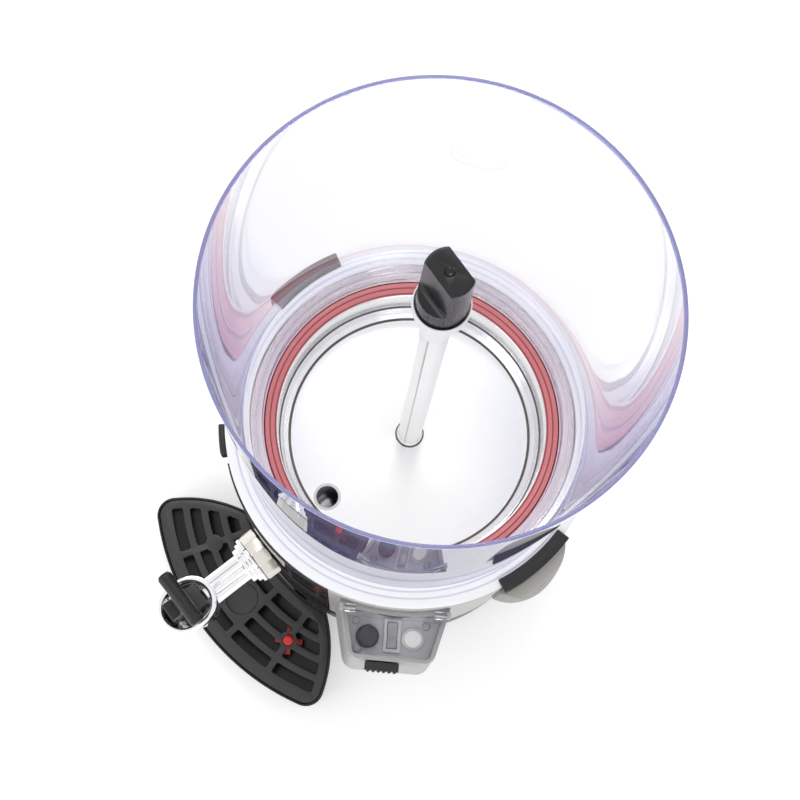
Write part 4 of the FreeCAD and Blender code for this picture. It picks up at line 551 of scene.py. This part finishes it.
# Painted shade: deep red for thin rings of shade in the gasket's groove and along its edges.
SEAL_SHADE_LINE = Finish("SealShadeLine", "red_rubber", (0.30, 0.03, 0.04), (0.22, 0.02, 0.03), 0.35, 0.08,
                   grain_scale=1500, grain_depth=0.05)
PINK_SEAL = Finish("PinkSeal", "red_rubber", (0.80, 0.70, 0.75), (0.74, 0.62, 0.68), 0.40, 0.08,
                   grain_scale=1500, grain_depth=0.05)
RED_FLOAT = Finish("RedFloat", "red", (0.70, 0.03, 0.025), (0.60, 0.02, 0.02), 0.28, 0.06,
                   grain_scale=900, grain_depth=0.03)
BLACK_RUBBER = Finish("BlackRubber", "black_rubber", (0.02, 0.02, 0.02), (0.035, 0.035, 0.035), 0.7, 0.1,
                      grain_scale=1800, grain_depth=0.2)
LAMP_WHITE = Finish("LampWhite", "lamp_white", (0.95, 0.95, 0.94), (0.92, 0.92, 0.91), 0.25, 0.05,
                    grain_scale=700, grain_depth=0.03)
SWITCH_PALE = Finish("SwitchPale", "black", (0.74, 0.74, 0.76), (0.66, 0.66, 0.69), 0.20, 0.05,
                     grain_scale=1200, grain_depth=0.03)
SWITCH_GREY = Finish("SwitchGrey", "black", (0.30, 0.30, 0.33), (0.40, 0.40, 0.43), 0.14, 0.04, coat=0.5,
                     grain_scale=1200, grain_depth=0.03)
KNOB_DARK = Finish("KnobDark", "black", (0.010, 0.013, 0.026), (0.018, 0.022, 0.036), 0.28, 0.06, ior=1.42,
                   grain_scale=1800, grain_depth=0.05, wear=0.4)
ZINC = Finish("CastZinc", "zinc", (0.50, 0.50, 0.51), (0.40, 0.40, 0.41), 0.45, 0.1, metallic=0.9,
              grain_scale=700, grain_depth=0.2)
GEAR_WHITE = Finish("GearNylon", "gear_white", (0.80, 0.78, 0.71), (0.74, 0.71, 0.64), 0.4,
                    grain_scale=1200, grain_depth=0.05)
WIRE_COPPER = Finish("WireCopper", "copper", (0.72, 0.38, 0.22), (0.55, 0.26, 0.14), 0.3, metallic=1.0,
                     grain=Grain.BRUSHED, grain_scale=3000, grain_depth=0.3)
STACK_IRON = Finish("StackIron", "iron", (0.22, 0.22, 0.23), (0.15, 0.15, 0.16), 0.5, metallic=0.8,
                    grain=Grain.BRUSHED, grain_scale=2500, grain_depth=0.3)


def fit(piece: bpy.types.Object, finish: Finish, body: str, *nodes: str) -> bpy.types.Object:
    """Give a piece its finish and its body, and let it stand for solids.

    Args:
        piece: The finished object.
        finish: Its finish.
        body: The body that it moves with.
        nodes: The solids that it replaces.

    Returns:
        The piece.
    """
    piece.data.materials.clear()
    piece.data.materials.append(finish.material())
    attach(piece, body)
    if nodes:
        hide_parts(*nodes)
    log.info("%s: %d faces", piece.name, len(piece.data.polygons))
    return piece


def dress(finish: Finish, *nodes: str) -> None:
    """Give carried-over solids a finish."""
    for node in nodes:
        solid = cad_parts[node]
        for place in solid.material_slots:
            place.material = finish.material()


def softened(node: str, finish: Finish, body: str, width: float, angle: float = 38.0) -> bpy.types.Object:
    """A solid's own shape with softened edges and a finish, in place of the solid."""
    piece = make_object(f"{node}_piece", cad_copy(node))
    bevel_edges(piece, width, angle)
    return fit(piece, finish, body, node)


# Repeated details

def ridge_tree(material: bpy.types.Material) -> bpy.types.NodeTree:
    """Geometry nodes: equal round ridges in a row along a line.

    Args:
        material: Finish of the ridges.

    Returns:
        The node tree.
    """
    tree = new_tree("RidgeRow", "GeometryNodeTree",
                    {"Start": "Vector", "Step": "Vector", "Turn": "Vector", "Length": "Float",
                     "Radius": "Float", "Count": "Int"}, {"Geometry": "Geometry"})
    nodes, links = tree.nodes, tree.links
    entry = nodes.new("NodeGroupInput")
    leave = nodes.new("NodeGroupOutput")
    row = nodes.new("GeometryNodeMeshLine")
    bar = nodes.new("GeometryNodeMeshCylinder")
    put(bar, {"Vertices": 12})
    soft = nodes.new("GeometryNodeSetShadeSmooth")
    turn = nodes.new("GeometryNodeTransform")
    copies = nodes.new("GeometryNodeInstanceOnPoints")
    real = nodes.new("GeometryNodeRealizeInstances")
    paint = nodes.new("GeometryNodeSetMaterial")
    put(paint, {"Material": material})
    wire(links, (entry, "Count", row, "Count"), (entry, "Start", row, "Start Location"),
         (entry, "Step", row, "Offset"), (entry, "Radius", bar, "Radius"),
         (entry, "Length", bar, "Depth"), (bar, "Mesh", soft, "Geometry"),
         (soft, "Geometry", turn, "Geometry"), (entry, "Turn", turn, "Rotation"),
         (row, "Mesh", copies, "Points"), (turn, "Geometry", copies, "Instance"),
         (copies, "Instances", real, "Geometry"), (real, "Geometry", paint, "Geometry"),
         (paint, "Geometry", leave, "Geometry"))
    return tree


@dataclass
class RidgeRow:
    """A row of equal ridges on a moulded piece."""

    name: str
    finish: Finish
    body: str
    start: Vector
    step: Vector
    turn: Triple
    length: float
    radius: float
    count: int

    def build(self) -> bpy.types.Object:
        """Make the ridges as a plain mesh that rides on the body."""
        piece = bpy.data.objects.new(self.name, bpy.data.meshes.new(self.name))
        bpy.context.scene.collection.objects.link(piece)
        modifier = piece.modifiers.new("ridges", "NODES")
        modifier.node_group = ridge_tree(self.finish.material())
        given = {"Start": self.start * MM, "Step": self.step * MM, "Turn": Vector(self.turn),
                 "Length": self.length * MM, "Radius": self.radius * MM, "Count": self.count}
        for item in modifier.node_group.interface.items_tree:
            if item.in_out == "INPUT":
                modifier[item.identifier] = given[item.name]
        apply_modifiers(piece)
        return fit(piece, self.finish, self.body)


# Sub-assemblies

@dataclass
class RoundBody:
    """The round wall, its base, the black panel, the collar and the small pieces on it."""

    radius: float = 107.0
    wall: float = 2.2
    shell_foot: float = 58.0
    shell_top: float = 201.0
    collar_top: float = 209.0
    collar_inner: float = 92.8
    groove_rings: tuple[float, float] = (97.3, 101.1)
    panel_half: float = math.radians(25.0)
    joint_gap: float = math.radians(0.8)
    pipe_hole: float = 12.5
    pipe_height: float = 150.0
    line_half: float = 0.4

    def build(self) -> None:
        """Build every piece of the round body."""
        self.build_shell()
        self.build_panel()
        self.build_collar()
        softened("base_ring", BLACK, "machine", 0.8)
        softened("collar_clip", BLACK, "machine", 0.8)
        softened("cord_inlet", BLACK, "machine", 0.6)
        dress(BLACK_RUBBER, "rubber_feet", "tap_seal", "tap_washer", "piston_seal")

    def build_shell(self) -> None:
        """Silver wall from one side of the panel round to the other, open behind the control box."""
        inner = self.radius - self.wall
        sweep = TURN - 2 * self.panel_half - self.joint_gap
        mesh = spin([
            (inner, self.shell_foot),
            (self.radius, self.shell_foot, 0.6),
            (self.radius, self.shell_top, 0.6),
            (inner, self.shell_top),
        ], 240, TAP_DIRECTION + math.pi, sweep)
        piece = fit(make_object("round_wall", mesh), SILVER, "machine", "body_shell")
        window = prism([(90, -15), (125, -15), (125, 15), (90, 15)], 108, 158)
        carve(piece, lay(window, swing(BOX_DIRECTION)))

    def build_panel(self) -> None:
        """Glossy black panel behind the tap, with the hole of the drain tube."""
        inner = self.radius - self.wall
        outer = self.radius + 0.8
        mesh = spin([
            (inner, self.shell_foot),
            (outer, self.shell_foot, 1.2),
            (outer, self.shell_top, 0.4),
            (inner, self.shell_top),
        ], 280, TAP_DIRECTION, 2 * self.panel_half)
        piece = fit(make_object("front_wall", mesh), PANEL_BLACK, "machine", "front_panel")
        hole = lay(spin([(0, -20), (self.pipe_hole, -20), (self.pipe_hole, 20), (0, 20)], 48),
                   swing(TAP_DIRECTION), shift(self.radius, 0, self.pipe_height), swing(math.pi / 2, "Y"))
        carve(piece, hole)

    def build_collar(self) -> None:
        """White ring with two grooves, a violet line in each, a soft lip and the pan's ledge."""
        top = self.collar_top
        outer = self.radius - 0.4
        outline: list[tuple] = [
            (86, 193), (95.8, 193), (95.8, 205), (101.5, 205), (101.5, 193), (104.5, 193),
            (104.5, 201), (outer, 201, 0.4), (outer, top - 0.3, 2.4), (outer - 2.6, top, 0.8),
        ]
        for ring in reversed(self.groove_rings):
            outline += [(ring + 0.8, top, 0.4), (ring, top - 0.8, 0.3), (ring - 0.8, top, 0.4)]
        outline += [(self.collar_inner, top, 1.5), (self.collar_inner, 196, 0.2), (86, 196, 0.4)]
        fit(make_object("collar_ring", spin(outline, 256)), WHITE, "machine", "top_collar")
        for number, ring in enumerate(self.groove_rings):
            line = fine_ring(ring, self.line_half, top - 0.9, top - 0.35, 0.0)
            fit(make_object(f"collar_line_{number}", line), GROOVE_VIOLET, "machine", "top_collar")


@dataclass
class PanAndBowl:
    """The heated pan, its red gasket and the clear bowl."""

    plate: float = 170.0
    plate_radius: float = 71.5
    pan_radius: float = 77.2
    pan_top: float = 197.5
    bowl_top: float = 423.0
    drain_radius: float = 8.05
    drain_reach: float = 62.0
    shade_line_depth: float = 0.6
    # Rings of painted shade on the pan: radius, height and half width of each.
    pan_shade_lines: tuple[Triple, ...] = (
        (8.1, 170.05, 0.5), (71.5, 170.1, 0.45), (76.9, 177.2, 0.3))
    # Rings of painted shade on the gasket: radius and height of each.
    gasket_shade_lines: tuple[tuple[float, float], ...] = ((84.5, 200.6), (81.3, 199.65), (78.5, 199.0))

    def build(self) -> None:
        """Build the pan, the gasket and the bowl."""
        self.build_pan()
        self.build_gasket()
        self.build_bowl()

    def build_pan(self) -> None:
        """Steel pan with its drain hole, and thin dark lines of painted shade at the column's foot, the cove
        and the wall.
        """
        foot = self.plate - 1.5
        outline = [
            (6.3, foot), (self.plate_radius, foot), (76.6, foot + 2.8, 2), (78.7, foot + 8, 3),
            (78.7, 196), (91.5, 196), (91.5, self.pan_top, 0.4), (self.pan_radius, self.pan_top, 1.2),
            (self.pan_radius, 177.0, 0.5), (76.6, 176.0, 0.8), (74.9, 172.4, 3.0),
            (self.plate_radius + 0.8, 170.3, 0.5), (self.plate_radius, 169.2, 0.2),
            (self.plate_radius - 0.8, 170.0, 0.3), (6.3, 170.0, 0.4),
        ]
        piece = fit(make_object("pan_dish", spin(outline, 256), 26), PAN_STEEL, "machine", "pan")
        hole = lay(spin([(0, -6), (self.drain_radius, -6), (self.drain_radius, 6), (0, 6)], 64),
                   shift(0, -self.drain_reach, self.plate))
        carve(piece, hole)
        # Thin dark rings that paint the shade at the column's foot, in the cove and at the wall.
        for number, (ring, height, half) in enumerate(self.pan_shade_lines):
            line = fine_ring(ring, half, height - self.shade_line_depth, height + 0.1)
            fit(make_object(f"pan_shade_line_{number}", line), PAN_SHADE_LINE, "machine", "pan")

    def build_gasket(self) -> None:
        """Red ring with a groove and a thin inner lip, a pale band under the bowl, and thin dark lines of
        painted shade in the groove and at the lip's edges.
        """
        lip = [
            (77.8, 197.5), (85.1, 197.5), (85.1, 200.6, 0.4), (82.0, 200.6, 0.6), (81.5, 199.2, 0.3),
            (81.0, 199.9, 0.3), (79.4, 199.5, 1.2), (77.8, 198.3, 0.6),
        ]
        band = [(85.12, 197.5), (92.2, 197.5), (92.2, 200.0, 0.5), (85.12, 200.0, 0.1)]
        fit(make_object("gasket_lip", spin(lip, 224), 40), RED_SEAL, "machine", "bowl_gasket")
        fit(make_object("gasket_band", spin(band, 224), 40), PINK_SEAL, "machine", "bowl_gasket")
        # Thin dark rings that paint the shade in the gasket's groove and at its edges.
        for number, (ring, height) in enumerate(self.gasket_shade_lines):
            line = fine_ring(ring, 0.4, height - self.shade_line_depth, height)
            fit(make_object(f"gasket_shade_line_{number}", line), SEAL_SHADE_LINE, "machine", "bowl_gasket")

    def build_bowl(self) -> None:
        """Clear flared wall with a round rim, a soft shoulder and a stepped foot."""
        outline = [
            (85.4, 200.3, 0.3), (92.2, 200.3, 0.5), (92.2, 212.5, 2.5), (94.4, 218.0, 8.0),
            (97.0, 226.5, 14.0), (98.2, 305.0, 30.0), (99.96, self.bowl_top - 2.0),
            (98.3, self.bowl_top - 2.0), (96.2, 305.0, 30.0), (94.8, 227.0, 14.0), (92.0, 218.5, 8.0),
            (88.9, 213.0, 3.0), (85.4, 211.0, 0.8),
        ]
        fit(make_object("bowl_wall", spin(outline, 288), 40), CLEAR_BOWL, "bowl", "bowl")
        rim = [
            (99.96, self.bowl_top - 1.96), (99.98, self.bowl_top, 0.8), (98.32, self.bowl_top, 0.8),
            (98.3, self.bowl_top - 1.96),
        ]
        fit(make_object("bowl_rim", spin(rim, 288), 40), RIM_VIOLET, "bowl", "bowl")


@dataclass
class Column:
    """The white centre tube with its cup, and the black drive cap."""

    cup_radius: float = 12.3
    cup_top: float = 420.0
    joint_height: float = 384.0
    streak_direction: float = math.radians(-67.0)

    def build(self) -> None:
        """Build the tube with a fine dark streak of painted reflection along it, its cup and the cap."""
        tube = [
            (4.8, 160), (6.0, 160), (6.0, 170), (7.6, 170, 0.2), (7.6, 172, 0.5), (6.8, 172.8, 0.3),
            (6.8, self.joint_height), (4.8, self.joint_height),
        ]
        cup = [
            (4.8, self.joint_height + 0.02), (6.8, self.joint_height + 0.02), (6.8, 385.5, 20),
            (9.2, 403, 20), (self.cup_radius, 413.5, 4), (self.cup_radius, self.cup_top, 0.4),
            (11.6, self.cup_top, 0.3), (11.6, 415.5), (6.42, 415.5), (6.42, 403.5), (4.8, 403.5),
        ]
        fit(make_object("column_lower", spin(tube, 96), 40), COLUMN_TUBE, "machine", "column_tube")
        # Thin strip along the tube that paints a dark reflected streak.
        streak = lay(prism([(6.6, -0.28), (6.84, -0.28), (6.84, 0.28), (6.6, 0.28)], 173.5, self.joint_height),
                   swing(self.streak_direction))
        fit(make_object("column_streak", streak), COLUMN_STREAK, "machine", "column_tube")
        fit(make_object("column_upper", spin(cup, 96), 40), COLUMN_WHITE, "machine", "column_tube")
        softened("coupling_cap", CAP_BLACK, "drive", 0.7, 30)


@dataclass
class Tap:
    """Chrome tap, its nut, the piston and the lever, drawn outwards along +X."""

    height: float = 150.0
    reach: float = 160.5
    stretch: float = 5.2
    cup_radius: float = 14.6
    cup_wall: float = 3.0
    hollow_shifts: tuple[float, float] = (0.8, 0.9)
    pin: tuple[float, float] = (172.0, 166.0)
    grip: tuple[float, float] = (162.7, 205.0)
    boss_radius: float = 4.6
    outwards: Matrix = field(default_factory=lambda: swing(TAP_DIRECTION))

    def build(self) -> None:
        """Build the tap and what moves on it."""
        self.build_body()
        self.build_lever()
        softened("tap_nut", NICKEL, "machine", 0.35, 20)
        softened("tap_piston", BLACK, "piston", 0.5)
        dress(TANK_STEEL, "outlet_elbow", "lever_pin", "lever_spring")

    def oval(self, radius: float, inside: bool) -> list[tuple[float, float]]:
        """Plan of the cup at a radius. The ends of its hollow are set a little outwards."""
        points = []
        far, near = self.hollow_shifts if inside else (0.0, 0.0)
        for centre, start in ((self.reach + self.stretch + far, -90), (self.reach + near, 90)):
            for step in range(25):
                angle = math.radians(start + 7.5 * step)
                points.append((centre + radius * math.cos(angle), radius * math.sin(angle)))
        return points

    def cup(self) -> Mesh:
        """Oval cup as a stack of ovals from its underside over the rim and down inside."""
        outer, inner = self.cup_radius, self.cup_radius - self.cup_wall
        last_outside = 6
        rows = [(8.7, 153.0), (outer - 2.2, 153.2), (outer - 0.7, 155.0), (outer, 157.2), (outer, 170.2),
                (outer - 0.2, 170.75), (outer - 0.7, 171.0), (inner + 0.7, 171.0), (inner + 0.2, 170.75),
                (inner, 170.2), (inner, 158.4), (8.7, 158.0)]
        mesh = bmesh.new()
        rings = [[mesh.verts.new((x * MM, y * MM, z * MM)) for x, y in self.oval(radius, spot > last_outside)]
                 for spot, (radius, z) in enumerate(rows)]
        for index, ring in enumerate(rings):
            following = rings[(index + 1) % len(rings)]
            for spot in range(len(ring)):
                corner = (spot + 1) % len(ring)
                mesh.faces.new((ring[spot], ring[corner], following[corner], following[spot]))
        bmesh.ops.recalc_face_normals(mesh, faces=mesh.faces)
        return mesh

    def build_body(self) -> None:
        """Stepped flange, pipe with a rib, valve body with its spout, and the oval cup."""
        flange = spin([
            (5.5, 114.5), (11.0, 114.5), (11.0, 118), (15.2, 118, 0.5), (15.2, 120.3, 0.7),
            (13.3, 120.3, 0.3), (13.3, 122.6, 0.7), (11.4, 122.6, 0.3), (11.4, 125.6, 0.9),
            (8.75, 125.6, 0.8), (8.75, 152), (5.5, 152),
        ], 96)
        lay(flange, shift(0, 0, self.height), swing(math.pi / 2, "Y"))
        valve = spin([
            (6.0, 110, 0.3), (9.0, 110, 0.7), (9.0, 127, 1.5), (13.0, 131, 1.5), (13.0, 153.5, 1.0),
            (8.6, 153.5), (8.6, 139), (6.0, 139),
        ], 96)
        lay(valve, shift(self.reach))
        rib = prism([(125, -1.5, 0.4), (148, -1.5, 0.4), (148, 1.5, 0.4), (125, 1.5, 0.4)],
                    self.height + 7, self.height + 9.9, 0.4)
        whole = joined(flange, valve, rib, self.cup())
        fit(make_object("tap_chrome", lay(whole, self.outwards), 38), CHROME, "machine", "tap_body")

    def build_lever(self) -> None:
        """Black lever: boss and finger, a waisted stem with a ribbed step, and the T grip."""
        (pin_x, pin_z), (grip_x, grip_z) = self.pin, self.grip
        sides = 40
        turns = [step * TURN / sides for step in range(sides)]
        circle = [(self.boss_radius * math.cos(turn), self.boss_radius * math.sin(turn)) for turn in turns]
        stand = (shift(pin_x, 0, pin_z), side_on())
        boss = lay(prism(circle, -5.0, 5.0, 0.5), *stand)
        finger = lay(prism([(0, -1.6), (0, 1.6), (-10, 1.6, 1), (-12, 2.6, 1.5), (-14.6, 0, 2.5),
                            (-12, -2.6, 1.5), (-10, -1.6, 1)], -2.8, 2.8, 0.4), *stand)
        stem = lay(prism([(-3.5, 3.8), (1.9, 3.8), (grip_x - pin_x + 2.7, grip_z - pin_z),
                          (grip_x - pin_x - 2.7, grip_z - pin_z)], -5.4, 5.4, 0.9), *stand)
        tier = prism([(167, -5.4, 1), (173.8, -5.4, 1), (173.8, 5.4, 1), (167, 5.4, 1)], 185.5, 191.5, 0.7)
        outline = [(0, -16.5), (3.2, -16.5, 1.0), (4.2, -14.6, 1.8), (3.9, 0.0, 16.0), (4.2, 14.6, 1.8),
                   (3.2, 16.5, 1.0), (0, 16.5)]
        grip = lay(spin(outline, 48), shift(grip_x, 0, grip_z), swing(math.pi / 2, "X"))
        whole = joined(boss, finger, stem, tier, grip)
        fit(make_object("lever_piece", lay(whole, self.outwards), 40), BLACK, "lever", "tap_lever")
        RidgeRow("lever_ridges", BLACK, "lever", Vector((-4.8, -173.8, 188.5)), Vector((1.6, 0, 0)),
                 (0, 0, 0), 5.2, 0.55, 7).build()


@dataclass
class DripTray:
    """Black tray, its slotted grid and the red float."""

    dish_reach: float = 138.3

    def build(self) -> None:
        """Soften the tray, the grid and the float, and paint a thin ring of shade along the edge of the
        grid's dish.
        """
        softened("drip_tray", CAP_BLACK, "tray", 0.5, 40)
        softened("tray_grid", GRID_GREY, "grid", 0.45, 40)
        softened("tray_float", RED_FLOAT, "float", 0.4)
        # Thin dark ring that paints the shade at the edge of the grid's dish.
        edge = lay(fine_ring(11.0, 0.3, 24.0, 24.56, steps=96), shift(0, -self.dish_reach))
        fit(make_object("dish_edge_shade", edge), GRID_SHADE_LINE, "grid", "tray_grid")


@dataclass
class ControlBox:
    """Grey control box with its plate, switches, clear cover and catch, outwards along +X."""

    outwards: Matrix = field(default_factory=lambda: swing(BOX_DIRECTION))

    def build(self) -> None:
        """Build what the box holds, and the cover over it."""
        softened("control_box", BOX_GREY, "machine", 0.7, 30)
        softened("control_plate", PLATE_GREY, "machine", 0.3)
        softened("control_cover", CLEAR_COVER, "cover", 0.5, 30)
        softened("cover_latch", BLACK, "latch", 0.3, 50)
        softened("switch_bezel", SWITCH_PALE, "machine", 0.35)
        softened("switch_rocker", SWITCH_GREY, "rocker", 0.5, 20)
        softened("indicator_lamp", LAMP_WHITE, "machine", 0.9, 30)
        softened("plate_screws", PIN_STEEL, "machine", 0.4)
        self.build_knob()
        dress(PIN_STEEL, "hinge_pins")
        dress(BLACK, "thermostat_body")

    def build_knob(self) -> None:
        """Dark knob with a skirt, a domed top and a raised pointer."""
        body = spin([(0, -14), (3, -14), (3, 0), (6.6, 0, 0.3), (6.6, 2.0, 0.6), (5.7, 2.4, 0.4),
                     (5.3, 8.6, 1.2), (0, 9.0)], 64)
        pointer = prism([(-6.5, -1.3, 0.9), (1.5, -1.3, 0.9), (1.5, 1.3, 0.9), (-6.5, 1.3, 0.9)], 1, 9.8, 0.5)
        whole = lay(joined(body, pointer), self.outwards, shift(121.5, -14, 176.3))
        fit(make_object("knob_piece", whole, 38), KNOB_DARK, "knob", "thermostat_knob")


@dataclass
class Handles:
    """Two silver ears with a black strip on top of each."""

    def build(self) -> None:
        """Soften the ears and the strips."""
        for side in EAR_SIDES:
            softened(f"handle_shell_{side}", EAR_SILVER, "machine", 1.0, 30)
            softened(f"handle_grip_{side}", BLACK, "machine", 0.6)


@dataclass
class Inside:
    """Solids inside the body, which get finishes only."""

    def build(self) -> None:
        """Dress the tank, the drive and the motor."""
        dress(TANK_STEEL, "boiler_tank", "center_tube", "heating_element", "thermostat_bulb", "drive_shaft")
        dress(NICKEL, "tank_plug", "shaft_bearing", "motor_pinion")
        dress(ZINC, "motor_plate", "plate_pillars", "gearbox_housing", "gearbox_cover")
        dress(GEAR_WHITE, "output_gear", "terminal_block", "column_bush")
        dress(WIRE_COPPER, "motor_coil")
        dress(STACK_IRON, "motor_stator", "motor_rotor")
        dress(BLACK, "safety_thermostat")


@dataclass
class Studio:
    """White floor, soft lamps and the camera of the photograph."""

    camera_place: Triple = (0.0999, -0.1292, 0.9005)
    camera_turn: float = 41.0
    camera_height_angle: float = 75.99
    camera_roll: float = 10.88
    lens: float = 56.3
    sensor_width: float = 36.0
    world_strength: float = 0.75
    floor_glow: float = 0.32

    def build(self) -> None:
        """Make the floor, the world, the lamps and the camera."""
        self.build_floor()
        self.build_world()
        self.lamp("key", (-0.9, 0.5, 1.5), 9.0, 0.9)
        self.lamp("fill", (1.1, -0.7, 1.2), 5.0, 0.8)
        self.lamp("front", (-0.2, -1.4, 0.7), 3.0, 0.7)
        self.card("card_left", (-0.62, -0.16, 0.62), (1.1, 0.06))
        self.card("card_right", (0.56, -0.16, 0.60), (1.1, 0.05))
        self.build_camera()

    def white_for_camera(self, nodes: bpy.types.Nodes, links: bpy.types.NodeLinks) -> bpy.types.NodeSocket:
        """One for camera, glossy and transmission rays, nought for the rest."""
        path = add(nodes, "LightPath")
        first = add(nodes, "Math", operation="MAXIMUM")
        second = add(nodes, "Math", operation="MAXIMUM")
        wire(links, (path, "Is Camera Ray", first, 0), (path, "Is Glossy Ray", first, 1),
             (first, 0, second, 0), (path, "Is Transmission Ray", second, 1))
        return second.outputs[0]

    def build_floor(self) -> None:
        """Wide floor that looks white and keeps the machine's soft shadow."""
        mesh = bmesh.new()
        bmesh.ops.create_grid(mesh, x_segments=1, y_segments=1, size=6.0)
        floor = make_object("floor", mesh)
        material = new_material("FloorWhite")
        nodes, links = inside_of(material)
        shader = nodes["Principled BSDF"]
        put(shader, {"Base Color": (0.86, 0.86, 0.865, 1), "Roughness": 0.7,
                     "Emission Color": (1, 1, 1, 1)})
        level = add(nodes, "Math", {1: self.floor_glow}, operation="MULTIPLY")
        links.new(self.white_for_camera(nodes, links), level.inputs[0])
        links.new(level.outputs[0], shader.inputs["Emission Strength"])
        floor.data.materials.append(material)

    def build_world(self) -> None:
        """Even pale sky, full white where it is seen."""
        world = bpy.context.scene.world or bpy.data.worlds.new("World")
        bpy.context.scene.world = world
        world.use_nodes = True
        nodes, links = world.node_tree.nodes, world.node_tree.links
        back = nodes["Background"]
        put(back, {"Color": (1.0, 1.0, 1.0, 1.0)})
        blend = add(nodes, "MapRange", {"To Min": self.world_strength, "To Max": 1.0})
        links.new(self.white_for_camera(nodes, links), blend.inputs["Value"])
        links.new(blend.outputs["Result"], back.inputs["Strength"])

    def card(self, name: str, place: Triple, size: tuple[float, float]) -> None:
        """Add a black card that only mirrored rays see, as round a studio table.

        Args:
            name: Name of the card.
            place: Its middle, in metres.
            size: Its two sides in metres, the first across and the second along the table.
        """
        mesh = bmesh.new()
        bmesh.ops.create_grid(mesh, x_segments=1, y_segments=1, size=0.5)
        bmesh.ops.scale(mesh, vec=(size[0], size[1], 1.0), verts=mesh.verts)
        piece = make_object(name, mesh)
        aim = Vector((0, place[1], 0.15)) - Vector(place)
        piece.rotation_euler = aim.to_track_quat("-Z", "Y").to_euler()
        piece.location = place
        material = bpy.data.materials.get("CardBlack") or self.card_material()
        piece.data.materials.append(material)

    def card_material(self) -> bpy.types.Material:
        """Black that mirrored rays see and all other rays pass."""
        material = new_material("CardBlack")
        nodes, links = inside_of(material)
        shader = nodes["Principled BSDF"]
        put(shader, {"Base Color": (0.01, 0.01, 0.015, 1), "Roughness": 1.0})
        path = add(nodes, "LightPath")
        links.new(path.outputs["Is Glossy Ray"], shader.inputs["Alpha"])
        return material

    def lamp(self, name: str, place: Triple, power: float, size: float) -> None:
        """Add a soft square lamp aimed at the machine.

        Args:
            name: Name of the lamp.
            place: Where it stands, in metres.
            power: Its power in watts.
            size: Length of its side in metres.
        """
        light = bpy.data.lights.new(name, "AREA")
        light.energy = power
        light.size = size
        holder = bpy.data.objects.new(name, light)
        holder.location = place
        aim = Vector((0, -0.05, 0.2)) - Vector(place)
        holder.rotation_euler = aim.to_track_quat("-Z", "Y").to_euler()
        bpy.context.scene.collection.objects.link(holder)

    def build_camera(self) -> None:
        """Camera almost straight above, a little to the front, as in the photograph."""
        data = bpy.data.cameras.new("camera")
        data.lens = self.lens
        data.sensor_width = self.sensor_width
        data.clip_start = 0.02
        holder = bpy.data.objects.new("camera", data)
        turn = (swing(math.radians(self.camera_turn))
                @ swing(math.radians(90.0 - self.camera_height_angle), "X")
                @ swing(math.radians(self.camera_roll)))
        holder.matrix_world = Matrix.Translation(self.camera_place) @ turn
        bpy.context.scene.collection.objects.link(holder)
        bpy.context.scene.camera = holder


def main() -> None:
    """Build the scene."""
    logging.basicConfig(level=logging.INFO, format="%(name)s %(message)s")
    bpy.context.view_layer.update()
    bpy.context.scene.view_settings.view_transform = "Standard"
    for part in (Studio(), RoundBody(), PanAndBowl(), Column(), Tap(), DripTray(), ControlBox(),
                 Handles(), Inside()):
        part.build()
        log.info("%s built", type(part).__name__)


if __name__ == "__main__":
    main()
